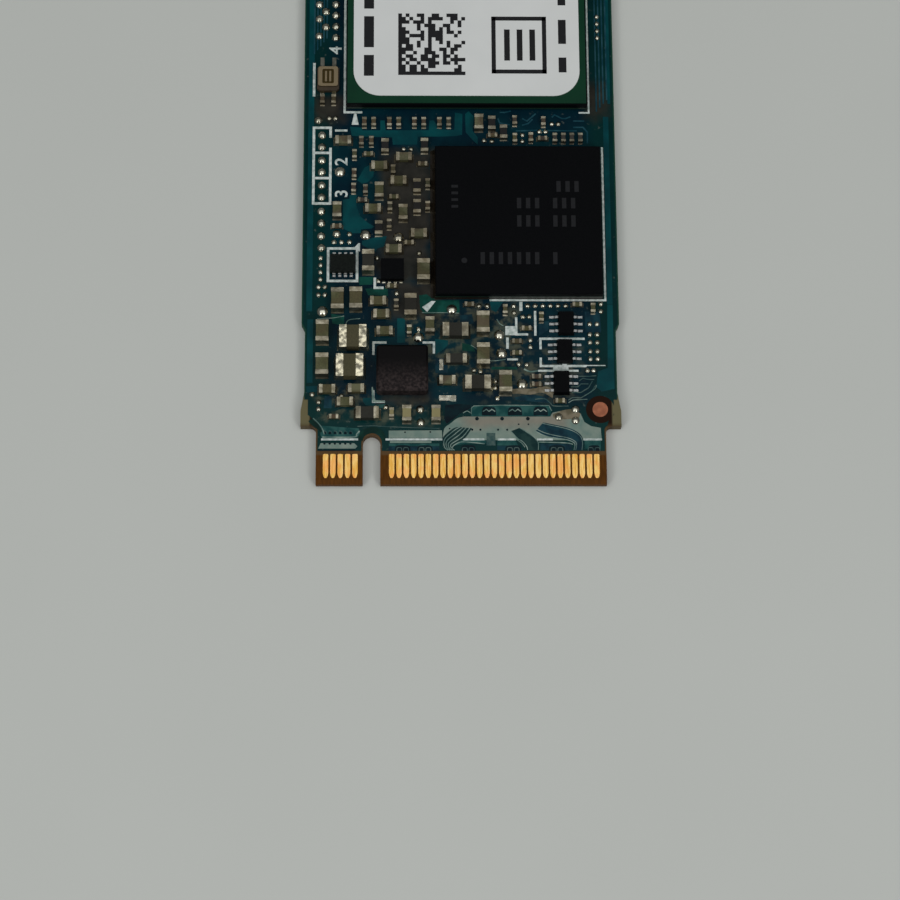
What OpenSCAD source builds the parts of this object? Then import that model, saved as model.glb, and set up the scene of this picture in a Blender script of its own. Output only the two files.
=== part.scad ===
// Gumstick solid state drive: an 80 mm edge-connector card with a controller,
// two flash packages, a memory package and the chip parts around them.
// Placements are given as x from the card's centreline and y from the contact
// edge. The card's own frame has its origin under the middle of the card.

/* [Card] */
// Width of the card
board_w = 22; // [21.8:0.1:22.2]
// Length of the card from contact edge to screw end
board_l = 80; // [80:1:84]
// Thickness over both solder masks
board_t = 0.8; // [0.7:0.05:1]
// Thickness of the solder mask and of the bare copper
film_t = 0.03; // [0.02:0.01:0.04]
// Radius of the half hole for the retaining screw
screw_r = 1.75; // [1.6:0.05:1.9]

/* [Edge connector] */
// Width of the contact tongue
tongue_w = 19.85; // [19.7:0.05:20]
// Distance from the contact edge to the shoulders
shoulder_y = 4.1; // [3.9:0.1:4.3]
// Width of the keying notch
key_w = 1.2; // [1.1:0.05:1.3]
// Depth of the keying notch
key_depth = 3.5; // [3.4:0.05:3.6]
// Distance of the keying notch from the centreline
key_x = -6.125; // [-6.2:0.025:-6]
// Spacing of the contacts on one side
contact_pitch = 0.5; // [0.5:0.01:0.5]
// Width of one contact
contact_w = 0.37; // [0.3:0.01:0.4]

/* [Packages] */
// Controller width
controller_w = 11.6; // [11:0.1:11.8]
// Controller length
controller_l = 11; // [10:0.1:11.2]
// Controller height above the card
controller_h = 1; // [0.8:0.05:1.2]
// Flash package width
flash_w = 17; // [16:0.1:17.2]
// Flash package length
flash_l = 14; // [12:0.1:14.4]
// Flash package height above the card
flash_h = 1.05; // [0.8:0.05:1.2]
// Memory package width
memory_w = 10.6; // [9:0.1:11]
// Memory package length
memory_l = 7.6; // [7:0.1:8]
// Power inductor width
inductor_w = 3.55; // [3:0.05:3.6]
// Power inductor length
inductor_l = 3.3; // [3:0.05:3.6]
// Power inductor height
inductor_h = 1.15; // [0.8:0.05:1.2]

/* [Label] */
// Width of the white face of the label
label_w = 16; // [15:0.1:16.4]
// Corner radius of the white face
label_r = 1.9; // [1:0.1:3]
// Thickness of each layer of the label
label_t = 0.05; // [0.04:0.01:0.1]

/* [Hidden] */
$fn = 48;

top_z = board_t;
hair = 0.01;

// Outline of the card
relief_depth = 0.24;
relief_y = [5.2, 6.5, 11.05, 11.5];
shoulder_fillet = 0.4;
end_corner_r = 0.5;
bevel_len = 0.3;
bevel_depth = 0.14;

// Contacts: 75 positions across the tongue, four of them lost to the key
last_contact = 75;
first_contact_x = 9.25;
key_contacts = [59, 66];
contact_top_y = [0.42, 2.12];
contact_bottom_y = [0.42, 2.5];
contact_tip = 0.34;

// Solder mask
mask_inset = 0.1;
mask_top_y = 2.34;
mask_bottom_y = 2.8;
ear_clear_r = 0.95;
ear_strip = [0.5, 1.9];
screw_pad_r = 2.75;
fiducial_at = [9.56, 5.3];
fiducial_clear_r = 0.98;
fiducial_r = 0.53;

// Silkscreen
silk_t = 0.015;
silk_w = 0.18;

// Where the packages stand
ball_h = 0.2;
ball_d = 0.36;
substrate_t = 0.22;
controller_at = [4.07, 18.85];
flash_x = 0.52;
flash_1_y = 27.5 + flash_l / 2;
flash_gap = 0.8;
flash_2_y = flash_1_y + flash_l + flash_gap;
memory_at = [0, 63.2];
memory_h = 0.95;
inductor_at = [-4.03, 7.95];

// Chip parts: across, along, height, end cap
BULK = [1.62, 1.86, 1, 0.5];
LARGE = [0.88, 1.52, 0.7, 0.32];
MEDIUM = [0.62, 1.1, 0.5, 0.24];
SMALL = [0.32, 0.64, 0.32, 0.17];
CHOKE = [0.98, 1.76, 0.8, 0.44];
SLIM_CHOKE = [0.68, 1.42, 0.6, 0.28];
BEAD = [0.84, 1.56, 0.7, 0.34];
RESISTOR = [0.52, 1, 0.35, 0.24];
plating = 0.02;
chip_gap = 0.03;

// Thickness of a package lead
lead_t = 0.1;

// Placements: x, y, and the turn of the part's long side from the card's length
bulk_places = [[-7.43, 10.3, 90], [-7.64, 8.2, 90]];
large_places = concat(
    [[-9.55, 10.8, 0], [-9.55, 8.4, 0], [-8.52, 13.15, 0], [-7.25, 13.2, 0]],
    [[1.55, 11.45, 0], [1.55, 9.15, 0], [3.06, 7.15, 0], [-2.56, 15.3, 0]],
    [for (x = [-8, 8]) [x, 72.5, 0]],
    [for (x = [-6.6, 6.6]) [x, 72.5, 0]]);
medium_places = concat(
    [[-3.92, 23.78, 90], [-4.3, 22, 90], [-6.08, 19.9, 90], [-5.65, 21.28, 0]],
    [[-5.65, 23.12, 90], [-3.97, 19.62, 0], [-2.87, 18.05, 90], [-4.63, 16.88, 90]],
    [[-8.2, 25.03, 90], [-5.7, 13.05, 90], [-5.48, 12.1, 90], [-5.25, 10.86, 90]],
    [[-2.12, 11.32, 0], [1.38, 26.45, 0], [-9.18, 6.65, 90], [-7.2, 6.7, 90]],
    [[-7.95, 5.75, 90], [-3.72, 4.92, 0], [-1.72, 4.92, 0]],
    [[-0.93, 7.3, 90], [-8.6, 19.8, 0]],
    [for (i = [0:4]) [-4.8 + 2.4 * i, 68.6, 90]],
    [for (x = [-6.8, 6.8], y = [60.6, 63.2, 65.8]) [x, y, 0]]);
small_places = concat(
    // four pairs in front of the flash package
    [for (i = [0:3], j = [0:1]) [-6.72 + 1.77 * i + 0.66 * j, 26.5, 0]],
    // the row behind the controller
    [for (i = [0:3]) [6.75 + 0.6 * i, 25.32, 0]],
    [[3.92, 26.65, 0], [3.92, 25.3, 0], [5.05, 25.35, 0], [5.95, 26.58, 0], [5.87, 25.25, 90]],
    [[2.35, 25.5, 90], [-6.62, 21.4, 0], [-7.45, 21.5, 0], [-6.82, 20.58, 90]],
    [[-4.9, 20.1, 0], [-4.95, 18.8, 0], [-2.25, 21.85, 0], [-2.25, 20.15, 0]],
    [[-6.42, 24.05, 90], [-6.92, 25.05, 0], [-6.22, 25.05, 0], [-7.42, 22.6, 0]],
    [[-4.68, 22.9, 0], [-2.6, 23.3, 90], [-4.62, 20.82, 90], [-8.6, 18.62, 90]],
    [[-9.7, 28.22, 0], [-8.9, 28.22, 0], [9.2, 12.6, 0], [8.1, 12.85, 90]],
    [[3.88, 9.32, 90], [3.88, 10.16, 90], [4.56, 11.1, 90], [5.6, 11.95, 0]],
    [[5.2, 7.6, 90], [5.2, 7.05, 90], [6.8, 5.86, 90], [-8.72, 4.72, 90], [-4.76, 5.02, 0]],
    [[3.1, 12.5, 0], [-3.55, 11, 0], [-3.55, 17.4, 90], [0.62, 12.85, 90], [-7.4, 24.05, 0]],
    [[-4.45, 12.9, 0], [-4.75, 14.2, 90]],
    [for (i = [0:6]) [-4.2 + 1.4 * i, 58.6, 0]],
    [for (i = [0:5]) [9.9, 40 + 2.4 * i, 0]],
    [for (i = [0:3]) [-2.7 + 1.8 * i, 70.8, 90]]);
choke_places = [[-0.36, 10.85, 90], [1.16, 7.05, 90], [0, 73.6, 90]];
slim_choke_places = [[-0.3, 8.82, 90]];
bead_places = [[-6.4, 15.95, 0], [-3.46, 12.72, 0], [-6.42, 4.9, 90]];
resistor_places = concat(
    [[-5.25, 24.68, 0], [-3, 21.65, 0], [-3, 20.1, 0], [-2.47, 24.72, 0]],
    [[2.3, 26.42, 0], [3.12, 25.75, 0], [-5.68, 18.5, 0]],
    [for (i = [0:3]) [-9.3, 44 + 2.2 * i, 0]]);

// Solder domes: x and y
test_pads = concat(
    // three boxed pairs and the column below them
    [for (i = [0:2], j = [0:1]) [-9.7, 20.85 + 1.9 * i + 0.9 * j]],
    [[-9.7, 19.8], [-9.7, 18.92], [-9.7, 17.95], [-9.68, 17.08], [-8.62, 18.12]],
    // the staggered field beside the flash package
    [for (y = [33.2, 34.53, 35.66, 36.9]) [-9.97, y]],
    [for (i = [0:2]) [-9.5, 33.9 + 1.22 * i]],
    [for (i = [0:3]) [-8.77, 33.08 + 0.87 * i]],
    [[7.85, 5.3], [7.85, 4.5], [6.7, 4.75], [-2.76, 4.36], [-2.8, 5.3], [-9.97, 26.7]],
    [for (i = [0:4]) [-9.7, 70 + 1.2 * i]]);
probe_pads = [[-9.56, 12.4], [-8.42, 22.78], [-6.6, 18.05], [-0.6, 12.55],
    [2.68, 10.68], [2.82, 9.36], [4.22, 7.12], [-4.3, 17.85], [-2.92, 10.5]];
via_dots = concat(
    [for (y = [8.94, 9.49, 10.14, 10.72, 11.48], x = [8.95, 9.46]) [x, y]],
    [for (i = [0:5]) [4.66 + 0.53 * i, 12.82]],
    [for (i = [0:3]) [-9.72, 14.75 + 0.52 * i]],
    [for (x = [-9.85, -9.4], y = [13.6, 14.18]) [x, y]],
    [for (x = [-8.8, -8.28, -7.72]) [x, 17.5]],
    [for (i = [0:3]) [9.9, 33.1 + 0.55 * i]],
    [[9.75, 12.95], [9.75, 12.4], [1.3, 12.8], [1.86, 12.8], [3.7, 12.8], [3.72, 12.3]],
    [[4.32, 12], [4.78, 12.02], [4.82, 10.3], [4.82, 9.8], [4, 8.55], [4.56, 8.52]],
    [[8.72, 8.1], [9.16, 8.1], [-9.77, 5.82], [-9.77, 5.31], [-7.72, 18.1], [-5.68, 14.62]],
    [[-10.22, 6.37], [-4.42, 13.72], [-8.2, 6.25], [-2.9, 11.1], [-5.15, 5.45], [6.55, 26.45], [7.02, 26.45]],
    [[5.66, 25.85], [6.12, 25.85], [4.46, 25.6], [4.46, 25.1], [1.75, 25.15], [2.3, 25.1]],
    [[-9.2, 26.85], [-8.76, 26.85], [-3.95, 24.5], [-3.42, 24.5], [-5.8, 16.3]],
    [[2.41, 7.3], [2.41, 6.85], [2.5, 6.08], [0.9, 8.1], [1.36, 7.98], [-2.85, 16.68]]);

// Moves children from the placement grid to the card's own frame
module on_card(at = [0, 0], z = 0) {
    translate([at[0], at[1] - board_l / 2, z]) children();
}

// Moves children to each place of a list and turns them
module at_each(places) {
    for (p = places) on_card([p[0], p[1]], top_z) rotate([0, 0, p[2]]) children();
}

// A box centred on x and y that stands on z = 0
module block(size) {
    translate([-size[0] / 2, -size[1] / 2, 0]) cube(size);
}

// A rectangle with round corners
module round_rect(w, l, r) {
    difference() {
        square([w, l], center = true);
        for (sx = [-1, 1], sy = [-1, 1])
            translate([sx * w / 2, sy * l / 2]) difference() {
                square(2 * r, center = true);
                translate([-sx * r, -sy * r]) circle(r = r);
            }
    }
}

// Plan of the card. Growing the inset draws the same plan smaller.
module card_plan(inset = 0) {
    half_w = board_w / 2 - inset;
    half_tongue = tongue_w / 2 - inset;
    difference() {
        union() {
            translate([-half_w, shoulder_y + inset])
                square([2 * half_w, board_l - shoulder_y - 2 * inset]);
            translate([-half_tongue, inset]) square([2 * half_tongue, shoulder_y + 1]);
            for (s = [-1, 1]) translate([s * half_tongue, shoulder_y + inset]) mirror([s < 0 ? 1 : 0, 0])
                difference() {
                    translate([-hair, -shoulder_fillet]) square(shoulder_fillet + hair);
                    translate([shoulder_fillet, -shoulder_fillet]) circle(r = shoulder_fillet);
                }
        }
        for (s = [-1, 1]) mirror([s < 0 ? 1 : 0, 0]) relief_plan(half_w);
        key_plan(inset);
        translate([0, board_l]) circle(r = screw_r + inset);
        for (s = [-1, 1]) translate([s * half_w, board_l - inset]) difference() {
            square(2 * end_corner_r, center = true);
            translate([-s * end_corner_r, -end_corner_r]) circle(r = end_corner_r);
        }
    }
}

// The shallow relief along each side behind the shoulders
module relief_plan(half_w) {
    polygon([[half_w + 1, relief_y[0]], [half_w, relief_y[0]],
        [half_w - relief_depth, relief_y[1]], [half_w - relief_depth, relief_y[2]],
        [half_w, relief_y[3]], [half_w + 1, relief_y[3]]]);
}

// The keying notch, with a full radius at its inner end
module key_plan(inset = 0) {
    w = key_w + 2 * inset;
    depth = key_depth + inset;
    translate([key_x - w / 2, -1]) square([w, depth - w / 2 + 1]);
    translate([key_x, depth - w / 2]) circle(d = w);
}

// Glass-fibre laminate, bevelled along the contact edge
module laminate() {
    color("#6b4517") on_card() intersection() {
        translate([0, 0, film_t]) linear_extrude(board_t - 2 * film_t) card_plan();
        rotate([90, 0, 90]) translate([0, 0, -board_w]) linear_extrude(2 * board_w) polygon([
            [0, film_t + bevel_depth], [bevel_len, film_t], [board_l + 1, film_t],
            [board_l + 1, board_t - film_t], [bevel_len, board_t - film_t],
            [0, board_t - film_t - bevel_depth]]);
    }
}

// Plan of a solder mask, which stops short of the contacts, ears and screw pad
module mask_plan(start_y) {
    difference() {
        card_plan(mask_inset);
        translate([-board_w, -1]) square([2 * board_w, start_y + 1]);
        for (s = [-1, 1]) translate([s * board_w / 2, shoulder_y]) {
            circle(r = ear_clear_r);
            square(2 * ear_strip, center = true);
        }
        translate([0, board_l]) circle(r = screw_pad_r + 0.1);
    }
}

module solder_mask_top() {
    color("#0b5a5e") on_card() translate([0, 0, top_z - film_t]) linear_extrude(film_t) difference() {
        mask_plan(mask_top_y);
        translate(fiducial_at) circle(r = fiducial_clear_r);
    }
}

module solder_mask_bottom() {
    color("#0b5a5e") on_card() linear_extrude(film_t) mask_plan(mask_bottom_y);
}

// One contact, straight at the card end and drawn to a blunt tip at the edge
module contact_plan(span) {
    side = [[0.18, 0], [0.38, contact_tip * 0.4], [0.5, contact_tip], [0.5, span[1] - span[0] - 0.06],
        [0.34, span[1] - span[0]]];
    last = len(side) - 1;
    translate([0, span[0]]) polygon(concat(
        [for (p = side) [p[0] * contact_w, p[1]]],
        [for (i = [last:-1:0]) [-side[i][0] * contact_w, side[i][1]]]));
}

// Contacts from a first number in steps of two, leaving out those at the key
module contact_row(first, span) {
    for (n = [first:2:last_contact])
        if (n < key_contacts[0] || n > key_contacts[1])
            translate([first_contact_x - (n - 1) * contact_pitch / 2, 0]) contact_plan(span);
}

module contacts_top() {
    color("#e8b54a") on_card() translate([0, 0, top_z - film_t]) linear_extrude(film_t)
        contact_row(1, contact_top_y);
}

module contacts_bottom() {
    color("#e8b54a") on_card() linear_extrude(film_t) contact_row(2, contact_bottom_y);
}

// Gold ring round the half hole, cut off by the card's end
module screw_pad_plan() {
    intersection() {
        translate([0, board_l]) difference() {
            circle(r = screw_pad_r);
            circle(r = screw_r);
        }
        translate([-board_w, 0]) square([2 * board_w, board_l]);
    }
}

module screw_pad_top() {
    color("#d9b25a") on_card() translate([0, 0, top_z - film_t]) linear_extrude(film_t) screw_pad_plan();
}

module screw_pad_bottom() {
    color("#d9b25a") on_card() linear_extrude(film_t) screw_pad_plan();
}

module fiducial_dot() {
    color("#b9734a") on_card(fiducial_at, top_z - film_t) cylinder(r = fiducial_r, h = film_t);
}

// A silkscreen stroke along x or y
module stroke(from, to, w = silk_w) {
    translate([min(from[0], to[0]) - w / 2, min(from[1], to[1]) - w / 2])
        square([abs(to[0] - from[0]) + w, abs(to[1] - from[1]) + w]);
}

// Strokes that follow a list of corners
module stroke_path(corners, w = silk_w) {
    for (i = [0:len(corners) - 2]) stroke(corners[i], corners[i + 1], w);
}

module silkscreen_frames() {
    color("#d7dedd") on_card() translate([0, 0, top_z]) linear_extrude(silk_t) {
        // three boxes round the pairs of test pads, the last one open on its inner side
        stroke_path([[-9.1, 24.5], [-9.1, 20.38], [-10.28, 20.38],
            [-10.28, 26.11], [-9.1, 26.11], [-9.1, 25.44]]);
        for (y = [22.29, 24.2]) stroke([-10.28, y], [-9.1, y]);
        // bar beside the crystal
        stroke([-10.3, 28.6], [-10.3, 31]);
        // frame and corner mark of the serial memory
        stroke_path([[-9.2, 14.62], [-7.18, 14.62], [-7.18, 17.02], [-9.2, 17.02], [-9.2, 14.62]]);
        polygon([[-7.45, 17], [-7.1, 17.42], [-6.98, 17.42], [-6.98, 16.8]]);
        // corner of the regulator
        stroke_path([[-5.94, 14.78], [-5.94, 14.12], [-5.42, 14.12]]);
        // corners of the inductor
        stroke_path([[-5.2, 10.12], [-6.02, 10.12], [-6.02, 9.3]], 0.16);
        stroke_path([[-2.55, 10.12], [-1.85, 10.12], [-1.85, 9.4]], 0.16);
        stroke_path([[-6.02, 6.6], [-6.02, 5.84], [-5.3, 5.84]], 0.16);
        // outline and corner mark of the controller
        stroke_path([[2.1, 13.22], [10.08, 13.22], [10.08, 24.6]], 0.14);
        polygon([[-2.66, 12.7], [-2.3, 12.35], [-1.72, 13.14], [-2, 13.16]]);
        // outline and corner mark of the first flash package
        stroke_path([[-6.95, 27.3], [-8.12, 27.3], [-8.12, 41.4]], 0.16);
        stroke_path([[8.55, 27.3], [9.2, 27.3], [9.2, 41.4]], 0.12);
        polygon([[-7.62, 26.35], [-7.12, 26.35], [-7.3, 27.2], [-7.45, 27.2]]);
        // frame round the middle transistor and the bars below it
        stroke_path([[8.5, 10.4], [5.52, 10.4], [5.52, 9.72]], 0.16);
        stroke_path([[5.52, 8.95], [5.52, 8.42], [8.6, 8.42]], 0.16);
        stroke([8.6, 8.46], [9.95, 8.46], 0.07);
        stroke([5.4, 8.08], [8.05, 8.08], 0.14);
        stroke([6.46, 8.25], [7.33, 8.25], 0.2);
        stroke([7.1, 8.44], [7.24, 8.48]);
        // loose bars and a block among the small pads
        stroke([5.18, 10.7], [5.18, 12.35], 0.16);
        stroke([4.2, 12.55], [4.2, 13], 0.22);
        translate([3.1, 10.66]) square([0.78, 0.66]);
        stroke_path([[3.86, 11.9], [3.86, 10.72], [4.6, 10.72]], 0.16);
        stroke([3.24, 9.76], [3.24, 10.4], 0.18);
        stroke([3.28, 8.9], [3.88, 8.9], 0.14);
        // broken line behind the contacts
        for (span = [[-9.5, -7.12], [-5.1, -1.36], [0.2, 1.52], [2.56, 3.66], [5.26, 6.2], [8.44, 9.56]])
            stroke([span[0], 3.15], [span[1], 3.15], 0.14);
        // outline of the memory package
        for (s = [-1, 1]) translate([s * (memory_w / 2 + 0.22), memory_at[1]]) stroke([0, -3], [0, 3], 0.12);
    }
}

// Substrate of a ball-mounted package
module package_substrate(w, l) {
    translate([0, 0, ball_h]) block([w, l, substrate_t]);
}

// Moulded cap of a ball-mounted package, with its top edge broken
module package_mould(w, l, h) {
    start = ball_h + substrate_t;
    edge = 0.06;
    translate([0, 0, start]) intersection() {
        rotate([90, 0, 0]) translate([0, 0, -l / 2]) linear_extrude(l) broken_profile(w, h - start, edge);
        rotate([90, 0, 90]) translate([0, 0, -w / 2]) linear_extrude(w) broken_profile(l, h - start, edge);
    }
}

// A rectangle on z = 0 whose two upper corners are cut
module broken_profile(w, h, cut) {
    polygon([[-w / 2, 0], [w / 2, 0], [w / 2, h - cut], [w / 2 - cut, h],
        [-w / 2 + cut, h], [-w / 2, h - cut]]);
}

// One reflowed solder ball, a barrel between card and package
module solder_ball() {
    rotate_extrude() polygon([[0, 0], [ball_d * 0.36, 0], [ball_d / 2, ball_h * 0.36],
        [ball_d / 2, ball_h * 0.64], [ball_d * 0.36, ball_h], [0, ball_h]]);
}

// A grid of balls; the rows and columns within the gap are left out
module ball_grid(columns, rows, pitch, gap_columns = 0, gap_rows = 0) {
    for (i = [0:columns - 1], j = [0:rows - 1]) {
        x = (i - (columns - 1) / 2) * pitch;
        y = (j - (rows - 1) / 2) * pitch;
        if (abs(x) >= gap_columns * pitch / 2 || abs(y) >= gap_rows * pitch / 2)
            translate([x, y, 0]) solder_ball();
    }
}

module controller_substrate() {
    color("#1c3a2c") on_card(controller_at, top_z) package_substrate(controller_w, controller_l);
}

module controller_mould() {
    color("#16171a") on_card(controller_at, top_z) package_mould(controller_w, controller_l, controller_h);
}

module controller_solder_balls() {
    color("#b9bcbe") on_card(controller_at, top_z) ball_grid(14, 13, 0.8, 5, 5);
}

// Resin that has flowed out round the controller, widest on the side of the chip parts
module controller_underfill() {
    half_w = controller_w / 2;
    half_l = controller_l / 2;
    color("#2a2219") on_card(controller_at, top_z) {
        translate([-half_w, 0, 0]) rotate([90, 0, 180]) resin_bead(controller_l, 0.34, 0.5);
        translate([half_w, 0, 0]) rotate([90, 0, 0]) resin_bead(controller_l, 0.06, 0.3);
        translate([0, half_l, 0]) rotate([90, 0, 90]) resin_bead(controller_w, 0.14, 0.34);
        translate([0, -half_l, 0]) rotate([90, 0, -90]) resin_bead(controller_w, 0.06, 0.3);
    }
}

// A hollow-faced bead of resin along a package's side
module resin_bead(length, reach, rise) {
    translate([0, 0, -length / 2]) linear_extrude(length) polygon([
        [0, 0], [reach, 0], [reach * 0.55, rise * 0.14], [reach * 0.22, rise * 0.45], [0, rise]]);
}

module flash_1_substrate() {
    color("#1c3a2c") on_card([flash_x, flash_1_y], top_z) package_substrate(flash_w, flash_l);
}

module flash_1_mould() {
    color("#16171a") on_card([flash_x, flash_1_y], top_z) package_mould(flash_w, flash_l, flash_h);
}

module flash_1_solder_balls() {
    color("#b9bcbe") on_card([flash_x, flash_1_y], top_z) ball_grid(15, 11, 1, 4, 12);
}

module flash_2_substrate() {
    color("#1c3a2c") on_card([flash_x, flash_2_y], top_z) package_substrate(flash_w, flash_l);
}

module flash_2_mould() {
    color("#16171a") on_card([flash_x, flash_2_y], top_z) package_mould(flash_w, flash_l, flash_h);
}

module flash_2_solder_balls() {
    color("#b9bcbe") on_card([flash_x, flash_2_y], top_z) ball_grid(15, 11, 1, 4, 12);
}

module memory_substrate() {
    color("#1c3a2c") on_card(memory_at, top_z) package_substrate(memory_w, memory_l);
}

module memory_mould() {
    color("#16171a") on_card(memory_at, top_z) package_mould(memory_w, memory_l, memory_h);
}

module memory_solder_balls() {
    color("#b9bcbe") on_card(memory_at, top_z) ball_grid(12, 9, 0.8, 12, 3);
}

// The label bridges both flash packages: a green backing with a white face
label_l = 2 * flash_l + flash_gap;
label_y = flash_1_y - flash_l / 2 + label_l / 2;

module label_backing() {
    color("#0d4a33") on_card([flash_x, label_y], top_z + flash_h)
        linear_extrude(label_t) square([flash_w - 0.12, label_l - 0.12], center = true);
}

module label_face() {
    color("#d5d9d8") on_card([flash_x, label_y], top_z + flash_h + label_t)
        linear_extrude(label_t) round_rect(label_w, label_l - 1.2, label_r);
}

// Pressed ferrite block with broken edges and a terminal on each side
module inductor_core() {
    color("#2d2728") on_card(inductor_at, top_z + chip_gap) difference() {
        intersection() {
            rotate([90, 0, 0]) translate([0, 0, -inductor_l / 2]) linear_extrude(inductor_l)
                broken_profile(inductor_w, inductor_h, 0.14);
            rotate([90, 0, 90]) translate([0, 0, -inductor_w / 2]) linear_extrude(inductor_w)
                broken_profile(inductor_l, inductor_h, 0.14);
            linear_extrude(inductor_h) round_rect(inductor_w, inductor_l, 0.25);
        }
        for (s = [-1, 1]) translate([s * inductor_w / 2, 0, 0]) block([0.5, 2.2, 0.1]);
    }
}

module inductor_terminals() {
    color("#b9bcbe") on_card(inductor_at, top_z) for (s = [-1, 1]) {
        translate([s * (inductor_w / 2 - 0.13), 0, 0]) block([0.24, 2.2, chip_gap + 0.1]);
    }
}

crystal_at = [-9.3, 29.74];
crystal_w = 1.56;
crystal_l = 1.86;
crystal_t = 0.34;
lid_t = 0.14;

// Ceramic tray with a scalloped corner at each pad
module crystal_base() {
    color("#4a3d2e") on_card(crystal_at, top_z + chip_gap) linear_extrude(crystal_t) difference() {
        square([crystal_w, crystal_l], center = true);
        for (sx = [-1, 1], sy = [-1, 1]) translate([sx * crystal_w / 2, sy * crystal_l / 2]) circle(r = 0.13);
    }
}

// Metal lid with a raised rim, and two ribs across its sunken panel
module crystal_lid() {
    color("#9c8a70") on_card(crystal_at, top_z + chip_gap + crystal_t) translate([0, 0.12, 0]) difference() {
        linear_extrude(lid_t) round_rect(crystal_w - 0.16, crystal_l - 0.36, 0.16);
        translate([0, 0, 0.04]) linear_extrude(lid_t) difference() {
            round_rect(crystal_w - 0.74, crystal_l - 0.76, 0.1);
            for (sx = [-1, 1]) translate([sx * 0.15, 0]) square([0.14, 0.8], center = true);
        }
    }
}

module crystal_pads() {
    color("#b9bcbe") on_card(crystal_at, top_z) for (sx = [-1, 1], sy = [-1, 1]) {
        reach = sy > 0 ? 0.85 : 0.16;
        translate([sx * 0.42, sy * crystal_l / 2, 0]) rotate([0, 0, sy > 0 ? 0 : 180])
            translate([-0.14, 0, 0]) solder_wedge(0.28, reach, 0.24);
    }
}

// A concave wedge of solder that leans on a wall at y = 0 and runs out along +y
module solder_wedge(w, reach, rise) {
    rotate([90, 0, 90]) linear_extrude(w) polygon([
        [0, 0], [reach, 0], [reach * 0.5, rise * 0.2], [reach * 0.18, rise * 0.5], [0, rise]]);
}

// Moulded body whose sides slope away from an upright band, where the leads come out
module moulded_body(w, l, h, draft, band) {
    intersection() {
        rotate([90, 0, 0]) translate([0, 0, -l / 2]) linear_extrude(l) drafted_profile(w, h, draft, band);
        rotate([90, 0, 90]) translate([0, 0, -w / 2]) linear_extrude(w) drafted_profile(l, h, draft, band);
    }
}

module drafted_profile(w, h, draft, band) {
    polygon([[-w / 2 + draft, 0], [w / 2 - draft, 0], [w / 2, band[0]], [w / 2, band[1]], [w / 2 - draft, h],
        [-w / 2 + draft, h], [-w / 2, band[1]], [-w / 2, band[0]]]);
}

// One gull-wing lead that leaves a wall at y = 0 and lands on the card
module gull_lead(w, reach, knee) {
    translate([-w / 2, 0, 0]) rotate([90, 0, 90]) linear_extrude(w) polygon([
        [0, knee], [reach * 0.3, knee], [reach * 0.5, lead_t], [reach, lead_t], [reach, 0],
        [reach * 0.42, 0], [reach * 0.24, knee - lead_t], [0, knee - lead_t]]);
}

// Height of the upright band that leads with a given knee come out of
function lead_band(knee) = [knee - lead_t - chip_gap, knee - chip_gap];

serial_memory_at = [-8.18, 15.8];
serial_memory_w = 1.74;
serial_memory_l = 1.34;
serial_memory_knee = 0.25;

module serial_memory_body() {
    color("#1d2022") on_card(serial_memory_at, top_z + chip_gap)
        moulded_body(serial_memory_w, serial_memory_l, 0.48, 0.03, lead_band(serial_memory_knee));
}

module serial_memory_leads() {
    color("#c3c7c8") on_card(serial_memory_at, top_z) for (s = [0, 1], i = [0:3])
        rotate([0, 0, 180 * s]) translate([(i - 1.5) * 0.4, serial_memory_l / 2, 0])
            gull_lead(0.2, 0.24, serial_memory_knee);
}

regulator_at = [-4.72, 15.36];
regulator_side = [1.6, 1.5];
regulator_h = 0.5;

module regulator_body() {
    color("#1b1a1a") on_card(regulator_at, top_z + chip_gap)
        block([regulator_side[0], regulator_side[1], regulator_h]);
}

module regulator_pads() {
    color("#a9a79f") on_card(regulator_at, top_z) for (s = [0, 1], i = [0:3])
        rotate([0, 0, 180 * s]) translate([(i - 1.5) * 0.4 - 0.1, regulator_side[1] / 2, 0])
            solder_wedge(0.2, 0.14, 0.16);
}

// Six-lead transistor packages
transistor_at = [[7.3, 11.44], [7.18, 9.42], [6.92, 7.13]];
transistor_w = 1.1;
transistor_l = 1.66;
transistor_h = 0.55;
transistor_knee = 0.16;

module transistor_body(i) {
    color("#191b1c") on_card(transistor_at[i], top_z + chip_gap)
        moulded_body(transistor_w, transistor_l, transistor_h, 0.06, lead_band(transistor_knee));
}

module transistor_leads(i) {
    color("#c3c7c8") on_card(transistor_at[i], top_z) for (s = [-1, 1], j = [-1:1])
        translate([s * transistor_w / 2, j * 0.5, 0]) rotate([0, 0, -90 * s])
            gull_lead(0.17, 0.6, transistor_knee);
}

module dual_transistor_1_body() { transistor_body(0); }
module dual_transistor_1_leads() { transistor_leads(0); }
module dual_transistor_2_body() { transistor_body(1); }
module dual_transistor_2_leads() { transistor_leads(1); }
module dual_transistor_3_body() { transistor_body(2); }
module dual_transistor_3_leads() { transistor_leads(2); }

// Body of a two-terminal chip part, with its long side along y
module chip_body(size) {
    translate([0, 0, chip_gap + plating])
        block([size[0] - 2 * plating, size[1] - 2 * plating, size[2] - chip_gap - 2 * plating]);
}

// The plated end caps of a chip part, each with the solder it stands in
module chip_terminals(size) {
    reach = 0.1 + 0.08 * size[2];
    for (s = [0, 1]) rotate([0, 0, 180 * s]) {
        difference() {
            translate([0, (size[1] - size[3]) / 2, 0]) block([size[0], size[3], size[2]]);
            chip_body(size);
        }
        translate([-size[0] / 2, size[1] / 2, 0]) solder_wedge(size[0], reach, size[2] * 0.75);
    }
}

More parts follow.
